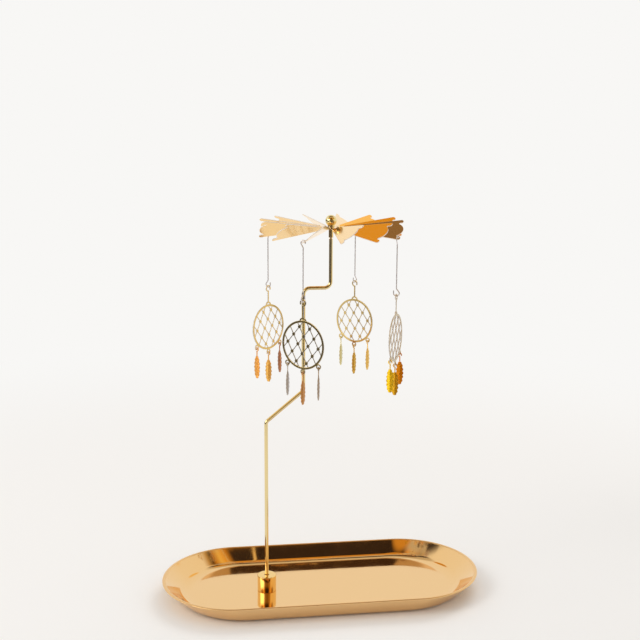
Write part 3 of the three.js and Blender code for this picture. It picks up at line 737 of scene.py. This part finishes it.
def vane_outline():
    """The vane's edge, along it (x) and across it (y), from its foot round its end and back."""
    knob_side = (KNOB_REACH * math.sin(VANE_FLARE) - KNOB_RADIUS) / math.cos(VANE_FLARE)
    middle = LOBE_REACH - LOBE_RADIUS
    knob_start = -math.pi / 2 - VANE_FLARE
    lower_knob = arc((KNOB_REACH, -knob_side), KNOB_RADIUS, knob_start, KNOB_END, KNOB_STEPS)
    lobe = arc((middle, 0), LOBE_RADIUS, -LOBE_SPREAD, LOBE_SPREAD, LOBE_STEPS)
    upper_knob = arc((KNOB_REACH, knob_side), KNOB_RADIUS, -KNOB_END, -knob_start, KNOB_STEPS)
    notch_x = lobe[0][0] - NOTCH_DEPTH
    notch_y = (lobe[-1][1] - lower_knob[-1][1]) / 2
    foot = VANE_FOOT * math.tan(VANE_FLARE)
    return (
        [(VANE_FOOT, foot), (VANE_FOOT, -foot)] + lower_knob
        + curve_between(lower_knob[-1], (notch_x, -notch_y), lobe[0], NOTCH_STEPS) + lobe
        + curve_between(lobe[-1], (notch_x, notch_y), upper_knob[0], NOTCH_STEPS) + upper_knob
    )


def mark_cut_edges(mesh):
    """A face attribute that is 1 on the faces that stand across the sheet."""
    across = [float(abs(face.normal.z) < ACROSS_SHEET) for face in mesh.polygons]
    mark(mesh, "cut_edge", "FLOAT", across, "FACE")


def sheet_piece(name, outline, sheet, material, holes=(), edge=EDGE_ROUND):
    """Flat sheet in the XY plane, cut to an outline with holes, in millimetres."""
    curve = bpy.data.curves.new(name, "CURVE")
    curve.dimensions = "2D"
    curve.fill_mode = "BOTH"
    curve.extrude = (sheet / 2 - edge) * MM
    curve.bevel_depth = edge * MM
    curve.bevel_resolution = 1
    curve.offset = -edge * MM
    for loop in (outline, *holes):
        spline = curve.splines.new("POLY")
        spline.points.add(len(loop) - 1)
        for point, (x, y) in zip(spline.points, loop):
            point.co = (x * MM, y * MM, 0, 1)
        spline.use_cyclic_u = True
    made = linked(name, curve)
    mesh = plain_mesh(made)
    bpy.data.objects.remove(made)
    mark_cut_edges(mesh)
    mesh.materials.clear()
    mesh.materials.append(material)
    return linked(name, mesh)


def etched_edge(material, tone):
    """Where acid cut through the sheet the metal is matt and greyer than its plated faces."""
    tree = material.node_tree
    plated = tree.nodes["Principled BSDF"].inputs
    edge = add(tree, "ShaderNodeAttribute", attribute_name="cut_edge").outputs["Fac"]
    colour = add(tree, "ShaderNodeMix",
                 {0: edge, 6: plated["Base Color"].default_value[:], 7: linear(tone)}, data_type="RGBA")
    surface(material, "Base Color", colour.outputs[2])
    rough = add(tree, "ShaderNodeMath",
                {0: edge, 1: ETCHED_ROUGHNESS, 2: plated["Roughness"].default_value},
                operation="MULTIPLY_ADD")
    surface(material, "Roughness", rough)
    return edge


def neck_rings():
    """The strip from the hub to the vane, twisted from level to the vane's pitch."""
    places = [(HUB_RADIUS - NECK_INTO_HUB, 0.0)]
    for k in range(NECK_STEPS + 1):
        places.append((HUB_RADIUS + (VANE_FOOT - HUB_RADIUS) * k / NECK_STEPS, k / NECK_STEPS))
    places.append((VANE_FOOT + NECK_INTO_VANE, 1.0))
    rings = []
    for reach, share in places:
        twist = VANE_PITCH * share
        ring = []
        for y, z in ((-1, -1), (1, -1), (1, 1), (-1, 1)):
            across = y * NECK_HALF_WIDTH
            up = z * (FAN_SHEET / 2 - NECK_SHY)
            ring.append((reach, across * math.cos(twist) - up * math.sin(twist),
                         across * math.sin(twist) + up * math.cos(twist)))
        rings.append(ring)
    return rings


def moved(made, place):
    """The same piece, shifted by millimetres."""
    made.data.transform(Matrix.Translation(Vector(place) * MM))
    return made


def joined_into(target, others):
    """Adds the meshes of other objects to the target's, and deletes those objects."""
    shape = bmesh.new()
    for part in (target, *others):
        shape.from_mesh(part.data)
    shape.to_mesh(target.data)
    shape.free()
    for other in others:
        bpy.data.objects.remove(other)


def vane_with_neck(name, holed, material):
    """One vane, pitched about its own length, with its neck: the fan's repeating unit."""
    holes = []
    if holed:
        side = HANG_REACH * math.tan(VANE_FLARE) - HANG_STRIP - HANG_HOLE / 2
        holes = [circle(HANG_HOLE / 2, HOLE_STEPS, centre=(HANG_REACH, -side))]
    vane = sheet_piece(name, vane_outline(), FAN_SHEET, material, holes)
    vane.data.transform(Matrix.Rotation(VANE_PITCH, 4, "X"))
    joined_into(vane, [piece(name + "_neck", *skin(neck_rings()), material)])
    return vane


def copies_on(tree, given, base, points, choices, placing):
    """Copies of the objects given, each on the points that are chosen for it, joined to the base."""
    joined = add(tree, "GeometryNodeJoinGeometry", {0: given.outputs[base]})
    for label, chosen in choices:
        unit = add(tree, "GeometryNodeObjectInfo", {"Object": given.outputs[label]}).outputs["Geometry"]
        wires = {"Points": points, "Selection": chosen, "Instance": unit, **placing}
        feed(tree, joined, 0, add(tree, "GeometryNodeInstanceOnPoints", wires))
    return joined


def fan_tree():
    """Geometry nodes that set a plain and a holed vane round the hub and join them to it."""
    tree, given, keys = shape_tree("vanes round hub", (
        ("Hub", "Geometry"), ("Plain vane", "Object"), ("Holed vane", "Object"), ("Vanes", "Int"),
        ("First turn", "Float"), ("Hanger every", "Int"), ("First hanger", "Int"), ("Finish", "Material")))
    places = add(tree, "GeometryNodePoints", {"Count": given.outputs["Vanes"]})
    number = add(tree, "GeometryNodeInputIndex")
    step = add(tree, "ShaderNodeMath", {0: 2 * math.pi, 1: given.outputs["Vanes"]}, operation="DIVIDE")
    swung = add(tree, "ShaderNodeMath", {0: number, 1: step, 2: given.outputs["First turn"]},
                operation="MULTIPLY_ADD")
    heading = add(tree, "ShaderNodeCombineXYZ", {"Z": swung})
    remainder = add(tree, "ShaderNodeMath", {0: number, 1: given.outputs["Hanger every"]},
                    operation="MODULO")
    carries = add(tree, "ShaderNodeMath",
                  {0: remainder, 1: given.outputs["First hanger"], 2: COUNT_TOLERANCE},
                  operation="COMPARE")
    plain_only = add(tree, "ShaderNodeMath", {0: 1.0, 1: carries}, operation="SUBTRACT")
    choices = (("Plain vane", plain_only), ("Holed vane", carries))
    end_tree(tree, given, copies_on(tree, given, "Hub", places, choices, {"Rotation": heading}))
    return tree, keys


# The same gold plate on thinner sheet: a touch less flat, so its reflections bend a little.
fan_gold = metal("gold-plated fan sheet", "FFDA9C", roughness=0.12)
grain(fan_gold, size_mm=9.0, height_mm=0.012, detail=1.0)
# The fan's cut edge is matt as etched, and its near-white tone is a painted highlight.
fan_edge = etched_edge(fan_gold, "F2E6D8")
# Painted highlight: the cut edge is made near white and mostly non-metallic, so each vane is drawn with a
# pale line where its real edge glints.
painted_edge_highlight = add(fan_gold.node_tree, "ShaderNodeMath", {0: fan_edge, 1: -ETCHED_SCATTER, 2: 1.0},
                  operation="MULTIPLY_ADD")
surface(fan_gold, "Metallic", painted_edge_highlight)

plain_vane = vane_with_neck("plain_vane", False, fan_gold)
holed_vane = vane_with_neck("holed_vane", True, fan_gold)
hub_half = FAN_SHEET / 2
hub_hole = SLEEVE_DIAMETER / 2 + CLEARANCE
hub_profile = [(hub_hole, hub_half), (hub_hole, -hub_half), (HUB_RADIUS, -hub_half), (HUB_RADIUS, hub_half)]
hub = turned("fan", hub_profile, (0, 0, 0), fan_gold, steps=HUB_STEPS, bored=True)
grow(hub, *fan_tree(), {
    "Plain vane": plain_vane, "Holed vane": holed_vane, "Vanes": VANE_COUNT, "First turn": VANE_OFFSET,
    "Hanger every": HANGER_EVERY, "First hanger": FIRST_HANGER, "Finish": fan_gold})
bpy.data.objects.remove(plain_vane)
bpy.data.objects.remove(holed_vane)
rotor_centre = (ROTOR_REACH, 0, TRAY_SHEET + PLATE_HEIGHT)
smooth(moved(hub, rotor_centre), SHEET_ANGLE)
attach(hub, "rotor")
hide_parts("rotor_fan")

# Sleeve and ball
# The sleeve is a turned bush round the needle, with a flange under the fan and a spigot up through it.
# The ball screws down over the spigot, clamps the fan, and holds the cup that rests on the needle.
SLEEVE_GAP = 0.4
FLANGE_DIAMETER = 4.4
FLANGE_HEIGHT = 0.6
SPIGOT_RISE = 1.9
SLEEVE_BEVEL = 0.15
FLANGE_BEVEL = 0.12
BALL_DIAMETER = 6.3
BALL_RISE = 4.1
BALL_STEPS = 28
BALL_POLE = 0.02
COLLAR_DIAMETER = 3.8

sleeve_outer = SLEEVE_DIAMETER / 2
sleeve_bore = NEEDLE_DIAMETER / 2 + CLEARANCE
sleeve_foot = ROD_SHOULDER + SLEEVE_GAP - PLATE_HEIGHT
flange = FLANGE_DIAMETER / 2
flange_foot = -FAN_SHEET / 2 - FLANGE_HEIGHT
spigot_top = FAN_SHEET / 2 + SPIGOT_RISE
sleeve = turned("hub_bush", [
    (sleeve_bore, sleeve_foot), (sleeve_outer - SLEEVE_BEVEL, sleeve_foot),
    (sleeve_outer, sleeve_foot + SLEEVE_BEVEL), (sleeve_outer, flange_foot),
    (flange - FLANGE_BEVEL, flange_foot), (flange, flange_foot + FLANGE_BEVEL), (flange, -FAN_SHEET / 2),
    (sleeve_outer, -FAN_SHEET / 2), (sleeve_outer, spigot_top), (sleeve_bore, spigot_top)],
    rotor_centre, turned_gold, bored=True)
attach(sleeve, "rotor")
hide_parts("hub_sleeve")

ball_radius = BALL_DIAMETER / 2
collar = COLLAR_DIAMETER / 2
socket = SLEEVE_DIAMETER / 2 + CLEARANCE
socket_top = spigot_top + CLEARANCE
cup = NEEDLE_DIAMETER / 2 + CLEARANCE
ball_start = math.asin(collar / ball_radius)
ball_profile = [(BALL_POLE, NEEDLE_SEAT_RISE), (cup, NEEDLE_SEAT_RISE - cup), (cup, socket_top),
                (socket, socket_top), (socket, FAN_SHEET / 2), (collar, FAN_SHEET / 2)]
for reach, level in arc((0, BALL_RISE), ball_radius, ball_start - math.pi / 2, math.pi / 2, BALL_STEPS):
    ball_profile.append((max(reach, BALL_POLE), level))
# Brass that is polished bright: yellower than the plate, with a sharp picture of the window in it.
ball_brass = metal("polished brass", "EADBA6", roughness=0.05)
grain(ball_brass, size_mm=3.0, height_mm=0.002, detail=1.0)
ball = turned("finial_ball_knob", ball_profile, rotor_centre, ball_brass)
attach(ball, "rotor")
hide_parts("finial_ball")

# Hanger wires
# Four bright steel wires, each bent to a hook at both ends. The top hook goes over the vane's edge
# through its hole, and the bottom hook is turned a little for the way that its net faces.
WIRE_DIAMETER = 0.65
HANGER_DROP = 31.1
TOP_HOOK_TIP = 0.5
TOP_HOOK_LEG = 0.7
HOOK_SLANT = 2.0
BOTTOM_HOOK_RADIUS = 1.6
BOTTOM_HOOK_LEG = 0.4
BOTTOM_HOOK_TIP = 1.4
HOOK_STEPS = 10
HANGER_SIDES = 14
NET_TURNS = [math.radians(turn) for turn in (-15.2, -16.4, -10.1, 2.7)]
joints = {joint["name"]: joint for joint in frame["joints"]}


def hung(joint_name, turn=0.0):
    """Place of a piece on a level hinge: its local X runs along the hinge's axis, then it is turned."""
    joint = joints[joint_name]
    heading = math.atan2(joint["axis"][1], joint["axis"][0]) + turn
    return Matrix.Translation(Vector(joint["pos_m"])) @ Matrix.Rotation(heading, 4, "Z")


def hanger_corners(face_turn):
    """The wire's corners and their bends, from the top hook's tip to the bottom hook's."""
    radius = WIRE_DIAMETER / 2
    top = math.hypot(HANG_STRIP, FAN_SHEET) / 2 + CLEARANCE + radius
    low = -HANGER_DROP
    hook = BOTTOM_HOOK_RADIUS

    def low_at(out, level):
        """A point of the bottom hook, which is turned to the net's face."""
        return (out * math.cos(face_turn), out * math.sin(face_turn), level)

    return [
        ((0, top, -TOP_HOOK_TIP), 0),
        ((0, top, top), top),
        ((0, -top, top), top),
        ((0, -top, -TOP_HOOK_LEG), WIRE_DIAMETER),
        ((0, 0, -TOP_HOOK_LEG - HOOK_SLANT), WIRE_DIAMETER),
        (low_at(0, low + hook + BOTTOM_HOOK_LEG + HOOK_SLANT), WIRE_DIAMETER),
        (low_at(hook, low + hook + BOTTOM_HOOK_LEG), radius),
        (low_at(hook, low), hook),
        (low_at(-hook, low), hook),
        (low_at(-hook, low + hook + BOTTOM_HOOK_TIP), 0),
    ]


for number, face_turn in enumerate(NET_TURNS, start=1):
    hanger_points = bent_path(hanger_corners(face_turn), HOOK_STEPS)
    hanger = wire_piece(f"hanger_hook_{number}", hanger_points, WIRE_DIAMETER / 2, HANGER_SIDES,
                        bright_steel, place=hung(f"hanger_swing_{number}"))
    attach(hanger, f"hanger_{number}")
    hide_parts(f"hanger_wire_{number}")

# Hanging nets
# Four rings with a net of crossing strips and small round dots, etched from one sheet. Each hangs by
# an open loop on a stem, and carries three eyelets under its ring.
NET_SHEET = 0.5
NET_RADIUS = 13.15
NET_RIM = 1.15
NET_DROP = 22.4
NET_COLUMN = 6.4
NET_ROW = 4.7
NET_ROWS = 2
NET_STRIP = 0.34
NET_TURN = math.radians(6)
DOT_DIAMETER = 1.85
# A dot's shape as shares of its diameter and of the sheet: its edge is just broken.
DOT_SHARES = ((0.47, -0.5), (0.5, -0.42), (0.5, 0.42), (0.47, 0.5))
DOT_STEPS = 24
RING_STEPS = 96
EYELET_STEPS = 32
ARCH_STEPS = 20
LOOP_STEPS = 28
LOOP_RADIUS = 1.95
LOOP_STRIP = 0.7
ARCH_RADIUS = 2.2
ARCH_STRIP = 0.8
STEM_WIDTH = 0.8
EYELET_RADIUS = 1.5
EYELET_STRIP = 0.65
EYELET_STANDOFF = 1.25
EYELET_SPREAD = math.radians(43)
# An open loop runs from one side of its gap round to the other.
OPEN_START = math.radians(-30)
OPEN_END = math.radians(-75) + 2 * math.pi
STEP_DOWN = 0.02
loop_drop = LOOP_RADIUS - LOOP_STRIP - CLEARANCE - WIRE_DIAMETER / 2


def band(radius, strip, start, end, steps):
    """Outline of a flat ring's part, out along its outer edge and back along its inner edge."""
    return arc((0, 0), radius, start, end, steps) + arc((0, 0), radius - strip, end, start, steps)


def open_loop(radius, strip, steps, sheet, material):
    """A flat loop with a gap low on its right, through which it was hooked on."""
    return sheet_piece("loop", band(radius, strip, OPEN_START, OPEN_END, steps), sheet, material)


def net_tree():
    """Geometry nodes for the net: strips on two slants and a dot at each crossing, realised in the ring."""
    tree, given, keys = shape_tree("net in ring", (
        ("Ring", "Geometry"), ("Places", "Object"), ("Strip", "Object"), ("Dot", "Object"),
        ("Finish", "Material")))
    places = add(tree, "GeometryNodeObjectInfo", {"Object": given.outputs["Places"]})
    dots, turn, size = (
        add(tree, "GeometryNodeInputNamedAttribute", {"Name": label}, data_type=kind)
        for label, kind in (("is_dot", "FLOAT"), ("turn", "FLOAT_VECTOR"), ("size", "FLOAT_VECTOR")))
    strips = add(tree, "ShaderNodeMath", {0: 1.0, 1: dots}, operation="SUBTRACT")
    choices = (("Strip", strips), ("Dot", dots))
    placing = {"Rotation": turn, "Scale": size}
    end_tree(tree, given, copies_on(tree, given, "Ring", places.outputs["Geometry"], choices, placing))
    return tree, keys


def net_places():
    """A point for each strip and dot, with its turn and size, in the plane of the net."""
    half = NET_COLUMN / 2
    slant = math.atan2(NET_ROW, half)
    reach = NET_RADIUS - NET_RIM / 2
    outermost = NET_ROWS + 1
    rows = []
    for side in (1, -1):
        for step in range(-outermost, outermost + 1, 2):
            off = step * half * math.sin(slant)
            length = 2 * math.sqrt(reach ** 2 - off ** 2)
            turn = side * slant + NET_TURN
            middle = Vector((off * math.sin(turn) * side, -off * math.cos(turn) * side, 0))
            rows.append((middle, turn, (length, NET_STRIP, NET_SHEET - STEP_DOWN * (2 + side)), 0.0))
    for row in range(-NET_ROWS, NET_ROWS + 1):
        last = outermost - abs(row)
        for step in range(-last, last + 1, 2):
            at = Matrix.Rotation(NET_TURN, 3, "Z") @ Vector((step * half, row * NET_ROW, 0))
            rows.append((at, 0.0, (DOT_DIAMETER, DOT_DIAMETER, NET_SHEET + 2 * STEP_DOWN), 1.0))
    mesh = bpy.data.meshes.new("net_places")
    mesh.from_pydata([row[0] * MM for row in rows], [], [])
    mark(mesh, "is_dot", "FLOAT", [row[3] for row in rows])
    mark(mesh, "turn", "FLOAT_VECTOR", [v for row in rows for v in (0.0, 0.0, row[1])])
    mark(mesh, "size", "FLOAT_VECTOR", [v * MM for row in rows for v in row[2]])
    return linked("net_places", mesh)


# Etching leaves the plated sheet faintly pitted, so its shine is broken up, and its edges are matt.
net_gold = metal("etched gold-plated sheet", "E2C684", roughness=0.13)
grain(net_gold, size_mm=0.8, height_mm=0.004)
etched_edge(net_gold, "D8D4D2")

NET_TREE, NET_INPUTS = net_tree()
# The strip and the dot are one metre across, and the tree scales them.
strip_unit = block("strip_unit")
dot_rings = [circle(share, DOT_STEPS, level) for share, level in DOT_SHARES]
dot_unit = piece("dot_unit", *skin(dot_rings), net_gold, scale=1.0)
for unit in (strip_unit, dot_unit):
    mark_cut_edges(unit.data)
places = net_places()
stand_up = Matrix.Rotation(math.pi / 2, 4, "X")


def flat_net(name):
    """The whole net lying in the XY plane, ring's centre at the origin."""

    def whole_ring(part, radius, strip, steps, sheet):
        """A flat ring without a gap."""
        return sheet_piece(part, circle(radius, steps), sheet, net_gold, [circle(radius - strip, steps)])

    net = whole_ring(name, NET_RADIUS, NET_RIM, RING_STEPS, NET_SHEET + STEP_DOWN)
    grow(net, NET_TREE, NET_INPUTS,
         {"Places": places, "Strip": strip_unit, "Dot": dot_unit, "Finish": net_gold})
    extras = []
    eyelet_reach = NET_RADIUS + EYELET_STANDOFF
    for spread in (-EYELET_SPREAD, 0.0, EYELET_SPREAD):
        eyelet = whole_ring("eyelet", EYELET_RADIUS, EYELET_STRIP, EYELET_STEPS, NET_SHEET)
        extras.append(moved(eyelet, (eyelet_reach * math.sin(spread), -eyelet_reach * math.cos(spread), 0)))
    arch_foot = NET_RADIUS - NET_RIM / 2
    arch = sheet_piece("arch", band(ARCH_RADIUS, ARCH_STRIP, 0, math.pi, ARCH_STEPS), NET_SHEET, net_gold)
    extras.append(moved(arch, (0, arch_foot, 0)))
    stem_foot = arch_foot + ARCH_RADIUS - ARCH_STRIP / 2
    stem_top = NET_DROP - LOOP_RADIUS + LOOP_STRIP / 2
    half = STEM_WIDTH / 2
    stem_outline = [(-half, stem_foot), (half, stem_foot), (half, stem_top), (-half, stem_top)]
    extras.append(sheet_piece("stem", stem_outline, NET_SHEET - STEP_DOWN, net_gold))
    loop = open_loop(LOOP_RADIUS, LOOP_STRIP, LOOP_STEPS, NET_SHEET, net_gold)
    extras.append(moved(loop, (0, NET_DROP, 0)))
    joined_into(net, extras)
    return net


for number in range(1, len(NET_TURNS) + 1):
    net = flat_net(f"netted_ring_{number}")
    moved(net, (0, -loop_drop - NET_DROP, 0)).data.transform(stand_up)
    net.data.transform(hung(f"net_swing_{number}", -math.pi / 2))
    smooth(net, SHEET_ANGLE)
    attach(net, f"net_{number}")
    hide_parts(f"dreamcatcher_{number}")
for helper in (strip_unit, dot_unit, places):
    bpy.data.objects.remove(helper)

# Feathers
# Twelve feathers cut from thin gold-coloured sheet, each with a raised quill, pressed barbs and a small
# open loop through which it swings on its eyelet.
FEATHER_SHEET = 0.25
FEATHER_EDGE_ROUND = 0.05
QUILL_SHEET = 0.45
QUILL_WIDTH = 0.6
QUILL_TIP_SHARE = 0.6
QUILL_INSET = 1.5
FEATHER_LOOP_STRIP = 0.5
FEATHER_REACH = 3.8
FEATHER_LENGTH = 13.2
FEATHER_WIDTH = 4.4
FEATHER_LOBES = 6
LOBE_POINTS = 8
LOBE_DEPTH = 0.11
BLADE_FULLNESS = 0.34
FEATHER_LOOP_STEPS = 24
FEATHER_TURNS = [(11, 0, 5), (0, 10, -17), (17, -2, 11), (16, 8, 0)]
# One listed tone for each leaf: partly its plating, partly a painted reflection of what that leaf mirrors.
FEATHER_TONES = [
    ("E6DCA4", "DCAE45", "F8CE70"), ("F0AC58", "F6C064", "B87C56"), ("B29E88", "D0985E", "BCB4AC"),
    ("DC8C1C", "DAA628", "FFD42E")]
BARB_PITCH = 0.45
BARB_HEIGHT = 0.05
BARB_STRENGTH = 0.8
BARB_SLANT = 0.8
WEAR_FROM = 1.2
WEAR_TO = 2.2
WEAR_SHARE = 0.4
WEAR_TONE = "8A5E28"

feather_gold = metal("pressed gold-plated leaf", "F2B65A", roughness=0.3)
feather_tree = feather_gold.node_tree
# Barbs: pressed lines that slant up from the quill, 0.45 mm apart, read from the blade's own map in mm.
blade_map = add(feather_tree, "ShaderNodeUVMap", uv_map="blade")
blade_axes = add(feather_tree, "ShaderNodeSeparateXYZ", {0: blade_map})
away = add(feather_tree, "ShaderNodeMath", {0: blade_axes.outputs["X"]}, operation="ABSOLUTE")
slanted = add(feather_tree, "ShaderNodeMath",
              {0: away, 1: BARB_SLANT, 2: blade_axes.outputs["Y"]}, operation="MULTIPLY_ADD")
waves = add(feather_tree, "ShaderNodeMath", {0: slanted, 1: 2 * math.pi / BARB_PITCH}, operation="MULTIPLY")
barbs = add(feather_tree, "ShaderNodeMath", {0: waves}, operation="SINE")
barb_bump = add(feather_tree, "ShaderNodeBump",
                {"Strength": BARB_STRENGTH, "Distance": BARB_HEIGHT * MM, "Height": barbs})
surface(feather_gold, "Normal", barb_bump)
# Each leaf has its own listed tone, partly from its plating and partly a painted reflection of what that
# leaf mirrors; the plating is also thinner and browner along the edge.
leaf_tone = add(feather_tree, "ShaderNodeAttribute", attribute_name="leaf_tone").outputs["Color"]
worn = add(feather_tree, "ShaderNodeMapRange",
           {"Value": away, "From Min": WEAR_FROM, "From Max": WEAR_TO, "To Max": WEAR_SHARE})
leaf_colour = add(feather_tree, "ShaderNodeMix", {0: worn, 6: leaf_tone, 7: linear(WEAR_TONE)},
                  data_type="RGBA")
surface(feather_gold, "Base Color", leaf_colour.outputs[2])


def blade_outline():
    """The blade's lobed edge, from its top down its right side and back up its left."""
    count = FEATHER_LOBES * LOBE_POINTS

    def half_width(share):
        """Half the blade's width, that share of its length down."""
        oval = max(math.sin(math.pi * share), 0.0) ** BLADE_FULLNESS
        lobes = 1 - LOBE_DEPTH * (1 - math.cos(2 * math.pi * FEATHER_LOBES * share))
        return FEATHER_WIDTH / 2 * oval * lobes

    shares = [k / count for k in range(1, count)]
    right = [(half_width(s), -FEATHER_REACH - s * FEATHER_LENGTH) for s in shares]
    left = [(-x, y) for x, y in reversed(right)]
    return [(0, -FEATHER_REACH)] + right + [(0, -FEATHER_REACH - FEATHER_LENGTH)] + left


def flat_feather(name):
    """A feather lying in the XY plane, with its hinge at the origin."""
    inner = math.hypot(EYELET_STRIP, NET_SHEET) / 2 + CLEARANCE
    outer = inner + FEATHER_LOOP_STRIP
    blade = sheet_piece(name, list(reversed(blade_outline())), FEATHER_SHEET, feather_gold,
                        edge=FEATHER_EDGE_ROUND)
    top = -inner - FEATHER_LOOP_STRIP / 2
    end = QUILL_INSET - FEATHER_REACH - FEATHER_LENGTH
    half = QUILL_WIDTH / 2
    half_tip = half * QUILL_TIP_SHARE
    quill_outline = [(-half, top), (-half_tip, end), (half_tip, end), (half, top)]
    quill = sheet_piece("quill", quill_outline, QUILL_SHEET, feather_gold)
    loop = open_loop(outer, FEATHER_LOOP_STRIP, FEATHER_LOOP_STEPS, QUILL_SHEET, feather_gold)
    joined_into(blade, [quill, loop])
    own_map = blade.data.uv_layers.new(name="blade")
    for corner in blade.data.loops:
        at = blade.data.vertices[corner.vertex_index].co
        own_map.data[corner.index].uv = (at.x / MM, at.y / MM)
    return blade


for number, (turns, tones) in enumerate(zip(FEATHER_TURNS, FEATHER_TONES), start=1):
    for letter, turn, tone in zip("abc", turns, tones):
        feather = flat_feather(f"leaf_feather_{number}{letter}")
        # The leaf's own tone, which is partly a painted reflection.
        mark(feather.data, "leaf_tone", "FLOAT_COLOR", linear(tone) * len(feather.data.vertices))
        feather.data.transform(stand_up)
        feather.data.transform(hung(f"feather_swing_{number}{letter}", math.pi / 2 + math.radians(turn)))
        smooth(feather, SHEET_ANGLE)
        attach(feather, f"feather_{number}{letter}_body")
        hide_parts(f"feather_{number}{letter}")
